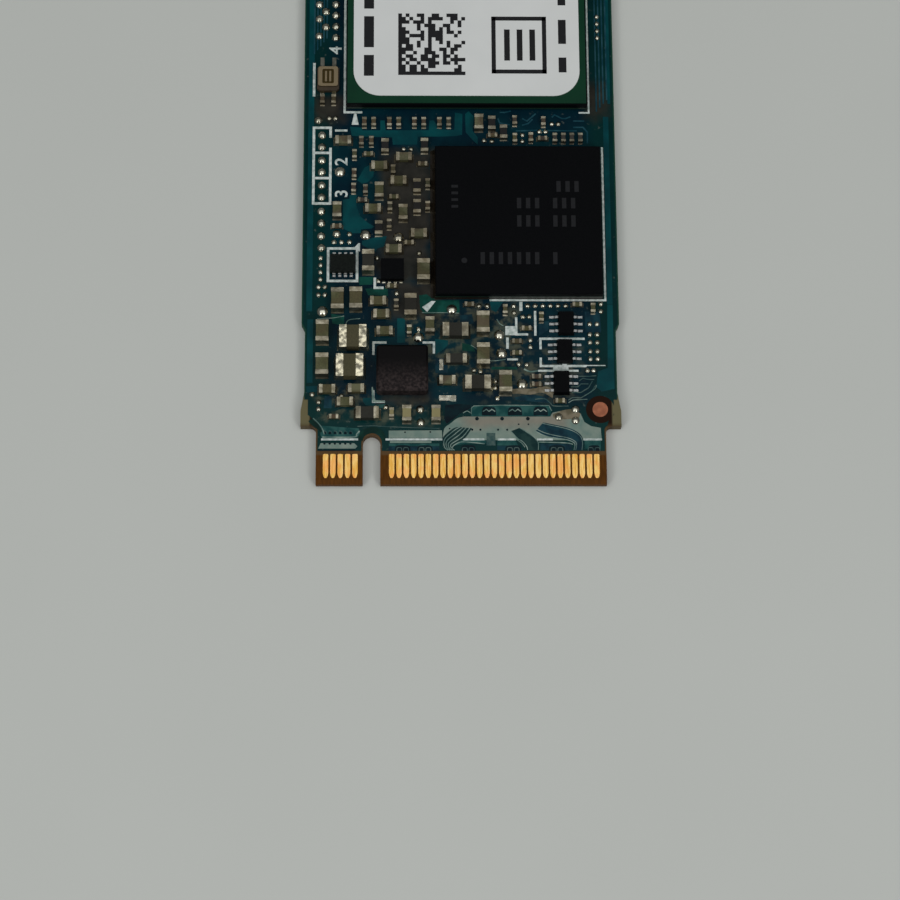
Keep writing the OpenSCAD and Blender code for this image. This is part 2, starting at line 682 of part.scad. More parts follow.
module bulk_capacitor_bodies() { color("#6b5d47") at_each(bulk_places) chip_body(BULK); }
module bulk_capacitor_terminals() { color("#c9c6b8") at_each(bulk_places) chip_terminals(BULK); }
module large_capacitor_bodies() { color("#75684f") at_each(large_places) chip_body(LARGE); }
module large_capacitor_terminals() { color("#b9b6a8") at_each(large_places) chip_terminals(LARGE); }
module medium_capacitor_bodies() { color("#7a7450") at_each(medium_places) chip_body(MEDIUM); }
module medium_capacitor_terminals() { color("#b9b6a8") at_each(medium_places) chip_terminals(MEDIUM); }
module small_capacitor_bodies() { color("#6f685a") at_each(small_places) chip_body(SMALL); }
module small_capacitor_terminals() { color("#b9bcb4") at_each(small_places) chip_terminals(SMALL); }
module choke_bodies() {
    color("#37322c") {
        at_each(choke_places) chip_body(CHOKE);
        at_each(slim_choke_places) chip_body(SLIM_CHOKE);
    }
}

module choke_terminals() {
    color("#c9c6b8") {
        at_each(choke_places) chip_terminals(CHOKE);
        at_each(slim_choke_places) chip_terminals(SLIM_CHOKE);
    }
}

module bead_bodies() { color("#4a4744") at_each(bead_places) chip_body(BEAD); }
module bead_terminals() { color("#b9b6a8") at_each(bead_places) chip_terminals(BEAD); }
module resistor_bodies() { color("#1e2021") at_each(resistor_places) chip_body(RESISTOR); }
module resistor_terminals() { color("#b9bcb4") at_each(resistor_places) chip_terminals(RESISTOR); }

// A dome of solder: a cap of a sphere on the card
module dome(d, h) {
    r = (d * d / 4 + h * h) / (2 * h);
    intersection() {
        translate([0, 0, h - r]) sphere(r = r);
        cylinder(d = d + 1, h = h + 1);
    }
}

module domes(places, d, h) {
    color("#c6c9c8") for (p = places) on_card(p, top_z) dome(d, h);
}

module test_pad_solder() { domes(test_pads, 0.58, 0.17); }
module probe_pad_solder() {
    domes(probe_pads, 0.76, 0.2);
    // two flat tinned pads
    color("#c6c9c8") {
        on_card([-0.92, 6.1], top_z) block([1.15, 0.36, 0.05]);
        on_card([-1.34, 8.52], top_z) block([0.26, 0.8, 0.05]);
    }
}

module via_solder() { domes(via_dots, 0.37, 0.12); }

laminate();
solder_mask_top();
solder_mask_bottom();
contacts_top();
contacts_bottom();
screw_pad_top();
screw_pad_bottom();
fiducial_dot();
silkscreen_frames();
controller_substrate();
controller_mould();
controller_solder_balls();
controller_underfill();
flash_1_substrate();
flash_1_mould();
flash_1_solder_balls();
flash_2_substrate();
flash_2_mould();
flash_2_solder_balls();
memory_substrate();
memory_mould();
memory_solder_balls();
label_backing();
label_face();
inductor_core();
inductor_terminals();
crystal_base();
crystal_lid();
crystal_pads();
serial_memory_body();
serial_memory_leads();
regulator_body();
regulator_pads();
dual_transistor_1_body();
dual_transistor_1_leads();
dual_transistor_2_body();
dual_transistor_2_leads();
dual_transistor_3_body();
dual_transistor_3_leads();
bulk_capacitor_bodies();
bulk_capacitor_terminals();
large_capacitor_bodies();
large_capacitor_terminals();
medium_capacitor_bodies();
medium_capacitor_terminals();
small_capacitor_bodies();
small_capacitor_terminals();
choke_bodies();
choke_terminals();
bead_bodies();
bead_terminals();
resistor_bodies();
resistor_terminals();
test_pad_solder();
probe_pad_solder();
via_solder();
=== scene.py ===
# %% [markdown]
# # A gumstick solid state drive
# A drive of this kind is a slip of circuit board, 22 mm wide and 80 mm long, with gold contacts at
# one end and every part soldered to one face. Its solids already exist, each in its place, and come
# in as a frame. They could have been modelled in this script too. They are kept in a CAD source
# instead, where sizes and fits are exact and easy to check. So this script only adds what CAD can't
# hold: the finish of each surface, the copper that shows through the solder mask, and the print on
# the label.

# %% Load the frame
import math
import random

import bpy
from mathutils import Matrix, Vector


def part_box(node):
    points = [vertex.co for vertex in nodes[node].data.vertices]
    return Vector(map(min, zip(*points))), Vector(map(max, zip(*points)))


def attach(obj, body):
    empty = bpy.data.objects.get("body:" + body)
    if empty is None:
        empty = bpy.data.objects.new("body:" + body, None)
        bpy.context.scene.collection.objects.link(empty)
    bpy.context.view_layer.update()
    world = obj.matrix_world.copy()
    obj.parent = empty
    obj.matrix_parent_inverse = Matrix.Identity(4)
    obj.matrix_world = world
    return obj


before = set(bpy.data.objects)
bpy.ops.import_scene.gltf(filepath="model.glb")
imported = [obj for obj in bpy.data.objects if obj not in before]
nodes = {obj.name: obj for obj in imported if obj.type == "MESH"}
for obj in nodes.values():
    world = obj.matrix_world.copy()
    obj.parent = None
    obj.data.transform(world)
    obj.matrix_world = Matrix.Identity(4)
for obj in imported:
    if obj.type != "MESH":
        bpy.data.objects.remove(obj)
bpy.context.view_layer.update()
print("nodes in the frame:", len(nodes))

# %% [markdown]
# ## Two coordinates, one card
# The frame is in metres, with its origin under the middle of the card. Places could be typed in
# metres, but a number like 0.00471 says little. A card is easier to read in millimetres, from its
# centreline and from its contact edge, so every place below is given that way and a short function
# turns it into the frame.

# %% Places on the card
MM = 0.001
contact_edge_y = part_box("laminate")[0].y
card_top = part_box("solder_mask_top")[1].z


def place(x, y, height=0.0):
    """A point in metres, from its place on the card and its height above it in millimetres."""
    return Vector((x * MM, contact_edge_y + y * MM, card_top + height * MM))


def from_edge(y):
    """The frame's own y, in millimetres, of a point y mm from the contact edge."""
    return y + contact_edge_y / MM


def height_of(node):
    """How far a node's top stands above the card, in millimetres."""
    return (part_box(node)[1].z - card_top) / MM


print("card length in mm:", round(-2 * contact_edge_y / MM, 2))
print("controller height in mm:", round(height_of("controller_mould"), 3))

# %% [markdown]
# ## The camera
# The camera looks down on the contact end from in front of it, a little left of the middle. It
# could be aimed with a tracking constraint, which leaves its roll and its lens to guesswork. Its
# right and its back directions are written out instead. They were worked out from the card's known
# width, the pitch of its contacts and the place of its key, so the scale of the picture is true.

# %% Camera
camera_at = Vector((-3.84, -85.42, 167.91)) * MM
camera_right = Vector((0.99984, -0.00478, 0.01700))
camera_back = Vector((-0.01766, -0.27507, 0.96126))
camera_lens = 101.87

camera = bpy.data.objects.new("camera", bpy.data.cameras.new("camera"))
camera_up = camera_back.cross(camera_right)
turn = Matrix((camera_right, camera_up, camera_back)).transposed().to_4x4()
camera.matrix_world = Matrix.Translation(camera_at) @ turn
camera.data.sensor_width = 36
camera.data.lens = camera_lens
camera.data.clip_start = 0.01
camera.data.clip_end = 10
bpy.context.scene.collection.objects.link(camera)
bpy.context.scene.camera = camera
print("camera height in mm:", round(camera_at.z / MM, 1))

# %% [markdown]
# ## Colours as they are seen
# Shaders work with linear light, while a given colour is on the display's scale. The values could
# be converted by hand and typed in, but then nobody could tell which colour is meant. This helper
# converts a colour from 0 to 255 where it is used.


# %% Colour helper
def tone(red, green, blue):
    """A display colour, 0 to 255 a channel, as linear RGBA."""
    def linear(value):
        value /= 255
        return value / 12.92 if value <= 0.04045 else ((value + 0.055) / 1.055) ** 2.4
    return (linear(red), linear(green), linear(blue), 1.0)


print("mid grey in linear light:", round(tone(128, 128, 128)[0], 3))

# %% [markdown]
# ## Shader helpers
# Every finish is a Principled shader with a few nodes in front of it. Most of them need the same
# few things: the point on the card in millimetres, a noise, a mix of two colours, and a bump. Wired
# one by one, a single noise takes ten lines. Short helpers keep each material to the lines that
# make it what it is.


# %% Shader helpers
class ShaderTree:
    """One material's Principled shader, and short ways to put nodes in front of it."""

    def __init__(self, name, roughness=0.5, metallic=0.0, specular=0.5):
        self.material = bpy.data.materials.new(name)
        self.material.use_nodes = True
        self.tree = self.material.node_tree
        self.shader = self.tree.nodes["Principled BSDF"]
        self.shader.inputs["Roughness"].default_value = roughness
        self.shader.inputs["Metallic"].default_value = metallic
        self.shader.inputs["Specular IOR Level"].default_value = specular
        self.card = self.millimetres()

    def add(self, kind, **settings):
        """Adds one shader node with its settings."""
        node = self.tree.nodes.new(kind)
        for key, value in settings.items():
            setattr(node, key, value)
        return node

    def feed(self, socket, value):
        """Joins an output to an input, or sets the input where a plain value is given."""
        if isinstance(value, bpy.types.NodeSocket):
            self.tree.links.new(value, socket)
        else:
            socket.default_value = value

    def millimetres(self):
        """The point on the object, in millimetres."""
        where = self.add("ShaderNodeTexCoord").outputs["Object"]
        scale = self.add("ShaderNodeVectorMath", operation="SCALE")
        self.feed(scale.inputs[0], where)
        scale.inputs["Scale"].default_value = 1 / MM
        return scale.outputs["Vector"]

    def number(self, operation, first, second=0.0):
        """One sum on two numbers or outputs."""
        node = self.add("ShaderNodeMath", operation=operation)
        self.feed(node.inputs[0], first)
        self.feed(node.inputs[1], second)
        return node.outputs["Value"]

    def between(self, value, low, high, start=0.0, end=1.0):
        """Spreads value from low..high over start..end, held at both ends."""
        node = self.add("ShaderNodeMapRange", interpolation_type="SMOOTHSTEP")
        self.feed(node.inputs["Value"], value)
        node.inputs["From Min"].default_value = low
        node.inputs["From Max"].default_value = high
        node.inputs["To Min"].default_value = start
        node.inputs["To Max"].default_value = end
        return node.outputs["Result"]


print("shader helpers ready")

# %% [markdown]
# ### What a finish varies with
# A finish varies with a noise, with the place on the card, or with both. The place could be painted
# on an unwrapped mesh, but the solids change while a card is worked on and would have to be
# unwrapped again. So a noise is given in lumps to the millimetre of the card itself, and a patch is
# a stretch of the card. Its edge is uneven, because stains and films don't end in straight lines.


# %% Noises and places
class Finish(ShaderTree):
    """One finish: what it varies with, its colour and its relief."""

    def noise(self, per_mm, detail=2.0, roughness=0.5, stretch=(1, 1, 1)):
        """A cloudy noise from 0 to 1 with so many lumps in each millimetre."""
        shaped = self.add("ShaderNodeVectorMath", operation="MULTIPLY")
        self.feed(shaped.inputs[0], self.card)
        shaped.inputs[1].default_value = stretch
        node = self.add("ShaderNodeTexNoise")
        self.feed(node.inputs["Vector"], shaped.outputs["Vector"])
        node.inputs["Scale"].default_value = per_mm
        node.inputs["Detail"].default_value = detail
        node.inputs["Roughness"].default_value = roughness
        return node.outputs["Fac"]

    def mix(self, share, first, second):
        """First colour where share is 0, second colour where it is 1."""
        node = self.add("ShaderNodeMix", data_type="RGBA")
        self.feed(node.inputs[0], share)
        self.feed(node.inputs[6], first)
        self.feed(node.inputs[7], second)
        return node.outputs[2]

    def axis(self, letter):
        """The card's x, y or z at this point, in millimetres from the frame's origin."""
        split = self.add("ShaderNodeSeparateXYZ")
        self.feed(split.inputs[0], self.card)
        return split.outputs[letter.upper()]

    def patch(self, x_span, y_span, soft=0.6, ragged=0.8):
        """1 inside a stretch of the card and 0 outside it, with an uneven edge."""
        x_middle, y_middle = sum(x_span) / 2, from_edge(sum(y_span) / 2)
        past = []
        for letter, middle, span in (("x", x_middle, x_span), ("y", y_middle, y_span)):
            off = self.number("ABSOLUTE", self.number("SUBTRACT", self.axis(letter), middle))
            past.append(self.number("SUBTRACT", off, (span[1] - span[0]) / 2))
        wander = self.number("MULTIPLY", self.number("SUBTRACT", self.noise(0.9), 0.5), 2 * ragged)
        beyond = self.number("ADD", self.number("MAXIMUM", *past), wander)
        return self.between(beyond, -soft, soft, 1.0, 0.0)

    def colour(self, value):
        """Sets what the base colour is."""
        self.feed(self.shader.inputs["Base Color"], value)

    def bump(self, height, depth_mm, strength=1.0):
        """Raises the surface by up to depth_mm where height is 1."""
        node = self.add("ShaderNodeBump")
        self.feed(node.inputs["Height"], height)
        node.inputs["Distance"].default_value = depth_mm * MM
        node.inputs["Strength"].default_value = strength
        self.feed(self.shader.inputs["Normal"], node.outputs["Normal"])


def wear(name, finish):
    """Puts a finish on a node of the frame."""
    mesh = nodes[name].data
    mesh.materials.clear()
    mesh.materials.append(finish.material)


print("noises and places ready")

# %% [markdown]
# ## Solder mask
# Solder mask is a thin, glossy lacquer, teal on this card, that keeps solder off the copper. Where
# resin has crept out beside the controller and at the corners of the flash package the card has a
# dark brown stain, and dried flux leaves a grey film in places. The same dark brown in front of the
# inductor is painted shadow. A painted image could show all this, but it is sharp from one distance
# only. Noises in the card's own millimetres stay sharp, and ragged patches of the card tell where
# the stains and the painted shadow lie. Their share is a function, because the chip parts that
# stand in them take the same tint.

# %% Stained places and painted shadow
resin_and_shadow_spots = [
    ((-5.6, -2.0), (14.6, 24.2)),
    ((-10.3, -8.2), (26.6, 28.4)),
    ((8.9, 10.5), (26.9, 29.6)),
    ((-4.6, -1.6), (11.9, 14.6)),
    # In front of the inductor: painted shadow, in the resin's tint.
    ((-5.5, -2.3), (5.7, 6.3)),
]
film_spots = [
    ((-10.0, -6.6), (4.5, 6.9)),
    ((-6.4, -1.0), (4.3, 5.9)),
    ((1.2, 8.0), (6.2, 9.4)),
    ((-4.0, 4.5), (7.5, 13.0)),
]


def covered(finish, spots):
    """1 on every one of the spots and 0 off them."""
    total = None
    for x_span, y_span in spots:
        here = finish.patch(x_span, y_span)
        total = here if total is None else finish.number("MAXIMUM", total, here)
    return total


def resin_and_shadow_share(finish):
    """How much resin stain and painted shadow lie on this point of the card."""
    return covered(finish, resin_and_shadow_spots)


print("resin spots:", len(resin_and_shadow_spots), "film spots:", len(film_spots))

# %% [markdown]
# ### The lacquer itself
# The lacquer starts as two clouded tones, greener along the flanks. Behind the contacts it turns
# lighter and greener: a painted reflection of the overhead light in the glossy lacquer. Specks, a
# film of dry flux and the resin are then laid over it one after the other, each as a mix with its
# own share. Doing it in layers keeps each one easy to change or leave out.

# %% The lacquer itself
mask_flank = (8.4, 9.8)
mask_glare_span = (from_edge(4.6), from_edge(6.4))

mask = Finish("solder_mask", roughness=0.22, specular=0.08)
cloud = mask.between(mask.noise(0.35, detail=3), 0.35, 0.7)
lacquer_tone = mask.mix(cloud, tone(2, 28, 40), tone(2, 44, 52))
flank = mask.between(mask.number("ABSOLUTE", mask.axis("x")), *mask_flank)
lacquer_tone = mask.mix(mask.number("MULTIPLY", flank, 0.55), lacquer_tone, tone(4, 46, 38))
# Lighter band behind the contacts: painted reflection of the overhead light.
front = mask.between(mask.axis("y"), *mask_glare_span, 0.8, 0.0)
lacquer_tone = mask.mix(front, lacquer_tone, tone(6, 48, 46))

specks = mask.between(mask.noise(3.0, detail=4), 0.66, 0.76, 0.0, 0.35)
lacquer_tone = mask.mix(specks, lacquer_tone, tone(104, 112, 104))
blotches = mask.between(mask.noise(1.6, detail=4), 0.44, 0.66)
film = mask.number("MULTIPLY", covered(mask, film_spots), blotches)
lacquer_tone = mask.mix(mask.number("MULTIPLY", film, 0.6), lacquer_tone, tone(92, 94, 76))
resin = mask.mix(mask.noise(1.1, detail=4), tone(20, 18, 14), tone(66, 62, 54))
# Resin tone, which also paints the shadow in front of the inductor.
lacquer_tone = mask.mix(mask.number("MULTIPLY", resin_and_shadow_share(mask), 0.85), lacquer_tone, resin)

mask.colour(lacquer_tone)
mask.bump(mask.noise(1.4, detail=3), 0.01, 0.35)
wear("solder_mask_top", mask)
wear("solder_mask_bottom", mask)
print("solder mask nodes:", len(mask.tree.nodes))

# %% [markdown]
# ## Laminate
# The card itself is glass fibre in amber resin. It shows bare on the contact tongue, on the
# shoulders and round the half hole. The weave gives it a faint grid, and the routed edge further
# back picks up the green of the mask. The solid could be cut into zones with a material each, but
# cuts that only serve the colour would be in the way of everyone who uses the part. One material
# that asks where on the card it is does the same.

# %% Laminate
contact_ends = 2.1
tongue_end = 4.4
shoulder_end = 6.0
green_from = (20, 30)
side_strip = (10.3, 10.45)
edge_tone = tone(22, 62, 48)

laminate = Finish("laminate", roughness=0.5, specular=0.08)
weave = laminate.noise(1.6, detail=1, stretch=(5, 1, 1))
along = laminate.axis("y")
past_contacts = laminate.between(along, from_edge(contact_ends - 0.1), from_edge(contact_ends))
past_tongue = laminate.between(along, from_edge(tongue_end - 0.5), from_edge(tongue_end))
past_shoulder = laminate.between(along, from_edge(shoulder_end), from_edge(shoulder_end + 0.3))
outward = laminate.between(laminate.number("ABSOLUTE", laminate.axis("x")), *side_strip)
far = laminate.between(along, *(from_edge(y) for y in green_from))

body = laminate.mix(laminate.between(weave, 0.3, 0.7), tone(76, 44, 6), tone(90, 53, 10))
body = laminate.mix(laminate.number("MULTIPLY", past_contacts, 0.6), body, tone(88, 74, 52))
body = laminate.mix(past_tongue, body, tone(32, 14, 4))
body = laminate.mix(laminate.number("MULTIPLY", past_tongue, outward), body, tone(104, 98, 70))
body = laminate.mix(laminate.number("MULTIPLY", past_shoulder, outward), body, edge_tone)
laminate.colour(laminate.mix(far, body, edge_tone))
laminate.bump(weave, 0.01, 0.3)
wear("laminate", laminate)
print("bare tongue in mm:", tongue_end)

# %% [markdown]
# ## Gold and copper
# A metal is a metallic shader whose colour is its reflection. Plated gold is smooth, with fine
# wiping marks along each contact from being plugged in, and in places it turns from yellow to a
# warmer tone. The marks could be modelled, at a cost of thousands of faces. One noise stretched
# along the contacts gives both their tone and their relief. Copper that has met the air is dull, so
# the fiducial dot is rougher and less metallic.

# %% Gold and copper
gold = Finish("gold_plate", roughness=0.3, metallic=1.0)
wipe = gold.noise(3.0, detail=2, stretch=(3, 0.35, 1))
plate = gold.mix(gold.between(wipe, 0.35, 0.65), tone(236, 178, 80), tone(255, 214, 130))
blush = gold.between(gold.noise(1.1, detail=2), 0.46, 0.62, 0.0, 0.5)
gold.colour(gold.mix(blush, plate, tone(255, 164, 92)))
gold.bump(wipe, 0.006, 0.35)

copper = Finish("bare_copper", roughness=0.5, metallic=0.6)
dull = copper.between(copper.noise(2.5), 0.3, 0.7)
copper.colour(copper.mix(dull, tone(150, 90, 64), tone(176, 110, 80)))

for name in ("contacts_top", "contacts_bottom", "screw_pad_top", "screw_pad_bottom"):
    wear(name, gold)
wear("fiducial_dot", copper)
print("gold roughness:", gold.shader.inputs["Roughness"].default_value)

# %% [markdown]
# ## Solder
# Reflowed solder is bright with an uneven skin, and duller where resin lies on it. In front of the
# inductor it is darkened in the same way as painted shadow. The two bulk capacitors stand in so much
# of it that it has set in ripples. The ripples could be sculpted, but they are a tenth of a
# millimetre across, so a strong bump from a slow noise is enough.

# %% Solder
solder = Finish("solder", roughness=0.22, metallic=1.0)
skin = solder.noise(2.6, detail=3)
bright = solder.mix(solder.between(skin, 0.3, 0.7), tone(146, 144, 128), tone(206, 204, 188))
# Duller under resin, and darker where shadow is painted in front of the inductor.
stain_and_shadow = solder.number("MULTIPLY", resin_and_shadow_share(solder), 0.45)
solder.colour(solder.mix(stain_and_shadow, bright, tone(110, 102, 80)))
solder.bump(skin, 0.03, 0.5)

ripples_per_mm = 1.6
rippled = Finish("rippled_solder", roughness=0.3, metallic=1.0)
ripple = rippled.noise(ripples_per_mm, detail=1.5, stretch=(1.5, 1, 1))
rippled.colour(rippled.mix(ripple, tone(204, 196, 166), tone(240, 234, 208)))
rippled.bump(ripple, 0.12, 1.0)
print("ripples to the millimetre:", ripples_per_mm)

# %% [markdown]
# ## Tinned ends and leads
# The plated ends of a chip part are matt tin, and no two have quite the same tone. Each end could
# get a colour of its own, but a noise that changes slowly over the card tells neighbours apart with
# one material. The bent leads of the small packages are smoother and cooler in colour. The nodes
# are named for what they are, so the ending of a name says which metal a node wears.

# %% Tinned ends and leads
tin = Finish("tinned_terminal", roughness=0.42, metallic=1.0)
uneven = tin.between(tin.noise(2.2, detail=3), 0.3, 0.7)
plain = tin.mix(uneven, tone(136, 129, 108), tone(198, 192, 170))
darker = tin.between(tin.noise(0.7, detail=1), 0.45, 0.65, 0.0, 0.6)
plain = tin.mix(darker, plain, tone(98, 94, 82))
# Duller under resin, and darker where shadow is painted in front of the inductor.
tin.colour(tin.mix(tin.number("MULTIPLY", resin_and_shadow_share(tin), 0.45), plain, tone(112, 100, 76)))
tin.bump(tin.noise(4.0, detail=3), 0.03, 0.5)

lead = Finish("tinned_lead", roughness=0.3, metallic=1.0)
lead.colour(lead.mix(lead.noise(2.0), tone(150, 152, 150), tone(206, 208, 206)))
lead.bump(lead.noise(6.0), 0.01, 0.4)

metal_of = {
    "_solder": solder,
    "_solder_balls": solder,
    "_pads": solder,
    "_terminals": tin,
    "_leads": lead,
}
for name in nodes:
    for ending, metal in metal_of.items():
        if name.endswith(ending):
            wear(name, metal)
wear("bulk_capacitor_terminals", rippled)
print("metals by name ending:", len(metal_of))

# %% [markdown]
# ## Moulded packages
# Black moulding compound is epoxy full of silica: nearly black, with a fine matt grain and no clear
# highlight. The grain could be modelled only with millions of faces, so it is a fine noise in both
# colour and bump. The serial memory is of a greyer compound, so one function makes both. Below its
# cap, a ball-mounted package has a thin green substrate whose edge shows, and round the controller
# a dark resin has flowed out.

# %% Moulded packages
def mould_finish(name, low, high):
    """Moulding compound with its grain between two near blacks."""
    finish = Finish(name, roughness=0.5, specular=0.05)
    grain = finish.noise(14.0, detail=2)
    finish.colour(finish.mix(finish.between(grain, 0.35, 0.65), low, high))
    finish.bump(grain, 0.006, 0.3)
    return finish


mould = mould_finish("package_mould", tone(4, 5, 7), tone(8, 9, 11))
grey_mould = mould_finish("grey_mould", tone(16, 19, 18), tone(26, 30, 27))

substrate = Finish("package_substrate", roughness=0.4, specular=0.3)
substrate.colour(substrate.mix(substrate.noise(1.5), tone(16, 34, 26), tone(26, 50, 36)))

underfill = Finish("underfill", roughness=0.22, specular=0.4)
runny = underfill.noise(1.8, detail=3)
underfill.colour(underfill.mix(runny, tone(20, 17, 13), tone(38, 31, 22)))
underfill.bump(underfill.noise(1.6, detail=3), 0.05, 0.6)

for name in nodes:
    small_package = name.startswith(("regulator", "dual_transistor")) and name.endswith("_body")
    if name.endswith("_mould") or small_package:
        wear(name, mould)
    if name.endswith("_substrate"):
        wear(name, substrate)
wear("serial_memory_body", grey_mould)
wear("controller_underfill", underfill)
print("moulded caps:", sum(name.endswith("_mould") for name in nodes))

# %% [markdown]
# ## Ceramic and ferrite
# Chip capacitors are fired ceramic. Each batch comes out of the kiln in its own olive, brown or
# cream. Parts of one size share a node here, so a random colour for each object would give them all
# the same one. A noise that changes slowly over the card picks the tone from a ramp instead, so
# neighbours differ and no part shows a seam.

# %% Ceramic and ferrite
def ceramic_finish(name, tones, depth=0.3):
    """Fired ceramic whose tone drifts from body to body."""
    finish = Finish(name, roughness=0.5, specular=0.15)
    ramp = finish.add("ShaderNodeValToRGB")
    first, last = 0.3, 0.7
    for i, shade in enumerate(tones):
        at = first + (last - first) * i / (len(tones) - 1)
        stop = ramp.color_ramp.elements[i] if i < 2 else ramp.color_ramp.elements.new(at)
        stop.position = at
        stop.color = shade
    finish.feed(ramp.inputs["Fac"], finish.noise(0.42, detail=1))
    speckle = finish.between(finish.noise(9.0, detail=2), 0.3, 0.7, 0.0, depth)
    body = finish.mix(speckle, ramp.outputs["Color"], tone(30, 26, 20))
    for shade, x_span, y_span in odd_batches:
        there = finish.patch(x_span, y_span, soft=0.15, ragged=0.0)
        body = finish.mix(finish.number("MULTIPLY", there, 0.8), body, shade)
    # Darker under resin, and where shadow is painted in front of the inductor.
    stain_and_shadow = finish.number("MULTIPLY", resin_and_shadow_share(finish), 0.3)
    finish.colour(finish.mix(stain_and_shadow, body, tone(26, 23, 17)))
    finish.bump(finish.noise(10.0), 0.004, 0.4)
    return finish


print("ceramic recipe ready")

# %% [markdown]
# ### Batches
# The kiln tones are given once by name, so that every ramp draws on the same few. Three places hold
# parts from another batch. They are written as stretches of the card, since a part there may share
# its node with many others.

# %% Ceramic tones
olive = tone(82, 83, 55)
brown = tone(84, 78, 54)
khaki = tone(104, 104, 78)
rose = tone(86, 76, 60)
cream = tone(146, 138, 98)
soot = tone(58, 56, 52)
odd_batches = [
    (cream, (-5.0, -1.0), (4.0, 5.8)),
    (khaki, (-7.9, -6.7), (6.5, 7.1)),
    (rose, (0.9, 2.1), (11.1, 11.7)),
]
capacitor = ceramic_finish("capacitor_ceramic", [olive, brown, olive, khaki, rose, olive])
small_capacitor = ceramic_finish("small_capacitor_ceramic", [soot, olive, tone(84, 70, 54), soot])
bulk_capacitor = ceramic_finish("bulk_capacitor_ceramic", [tone(80, 76, 54), tone(73, 71, 50)])
ferrite_chip = ceramic_finish("ferrite_chip", [tone(40, 40, 34), tone(50, 51, 46)])
resistor = ceramic_finish("resistor_glaze", [tone(24, 25, 27), tone(34, 34, 34)])

wear("bulk_capacitor_bodies", bulk_capacitor)
wear("large_capacitor_bodies", capacitor)
wear("medium_capacitor_bodies", capacitor)
wear("small_capacitor_bodies", small_capacitor)
wear("choke_bodies", ferrite_chip)
wear("bead_bodies", ferrite_chip)
wear("resistor_bodies", resistor)
print("odd batches:", len(odd_batches))

# %% [markdown]
# ### Ferrite core
# The power inductor is pressed from ferrite powder. Towards the contacts it is grey and pitted,
# partly from wear and partly a painted sheen, where its glossy top fades into black; at the back it
# stays nearly black. Two materials would meet in a hard line, so one material fades between both
# tones by how far a point lies from the core's front, which is read from the solid's own box.

# %% Ferrite core
ferrite = Finish("ferrite", roughness=0.6, specular=0.1)
grit = ferrite.noise(5.0, detail=4)
core_front, core_back = (corner.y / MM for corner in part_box("inductor_core"))
# Grey towards the front: wear with a painted sheen of reflected light.
wear_and_sheen = ferrite.between(ferrite.axis("y"), core_front + 0.2, core_back - 0.8, 1.0, 0.0)
pitted = ferrite.mix(ferrite.between(grit, 0.35, 0.7), tone(26, 22, 23), tone(58, 50, 49))
ferrite.colour(ferrite.mix(wear_and_sheen, tone(7, 6, 7), pitted))
ferrite.bump(grit, 0.02, 0.5)
wear("inductor_core", ferrite)
print("core length in mm:", round(core_back - core_front, 2))

# %% [markdown]
# ## Crystal
# The frequency crystal sits in a small ceramic tray closed by a metal lid. The lid's rim is
# brighter than its sunken panel. The faces of the rim could be picked out and given a second
# material, but faces have no names, and a changed solid would number them anew. The rim is told
# from the panel by its height instead, which is read from the lid's own box.

# %% Crystal
lid = Finish("crystal_lid", roughness=0.38, metallic=0.85)
lid_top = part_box("crystal_lid")[1].z / MM
raised = lid.between(lid.axis("z"), lid_top - 0.08, lid_top - 0.03)
lid.colour(lid.mix(raised, tone(72, 60, 30), tone(150, 134, 106)))
lid.bump(lid.noise(4.0), 0.01, 0.4)
wear("crystal_lid", lid)

tray = Finish("crystal_tray", roughness=0.5, specular=0.3)
tray.colour(tray.mix(tray.noise(3.0), tone(46, 38, 28), tone(66, 54, 38)))
wear("crystal_base", tray)
print("lid top in mm:", round(lid_top, 2))

# %% [markdown]
# ## Label and ink
# The label is a green film with a white printed face. Plain white would look like a paper cut-out,
# so a slow noise tints the face and raises it a little, as air and glue below a real label do. The
# printed ink is nearly black. Silkscreen ink is a thicker, duller white that comes out patchy.

# %% Label and ink
label_white = Finish("label_face", roughness=0.45, specular=0.3)
sheet_cloud = label_white.noise(0.25, detail=2)
label_white.colour(label_white.mix(sheet_cloud, tone(206, 209, 207), tone(222, 224, 222)))
label_white.bump(label_white.noise(0.5, detail=2), 0.02, 0.25)
wear("label_face", label_white)

label_green = Finish("label_backing", roughness=0.35, specular=0.15)
label_green.colour(label_green.mix(label_green.noise(0.6), tone(6, 44, 30), tone(10, 58, 36)))
wear("label_backing", label_green)

label_ink = Finish("label_ink", roughness=0.5, specular=0.3)
label_ink.colour(label_ink.mix(label_ink.noise(4.0), tone(10, 11, 14), tone(20, 21, 24)))

silk = Finish("silkscreen", roughness=0.6, specular=0.3)
patchy = silk.between(silk.noise(4.0, detail=3), 0.3, 0.65)
silk.colour(silk.mix(patchy, tone(158, 172, 166), tone(206, 214, 210)))
wear("silkscreen_frames", silk)
print("label height above the card in mm:", round(height_of("label_face"), 3))

# %% [markdown]
# ## Thin printed shapes
# Copper under the mask, label print and marks on a package are all the same kind of thing: flat
# outlines with a little height. An image would blur close up, and thick curves have to be turned
# into meshes one by one. One function extrudes a list of outlines into closed solids instead, turns
# each outline the same way round so that its faces look outward, and says what the piece rides on.


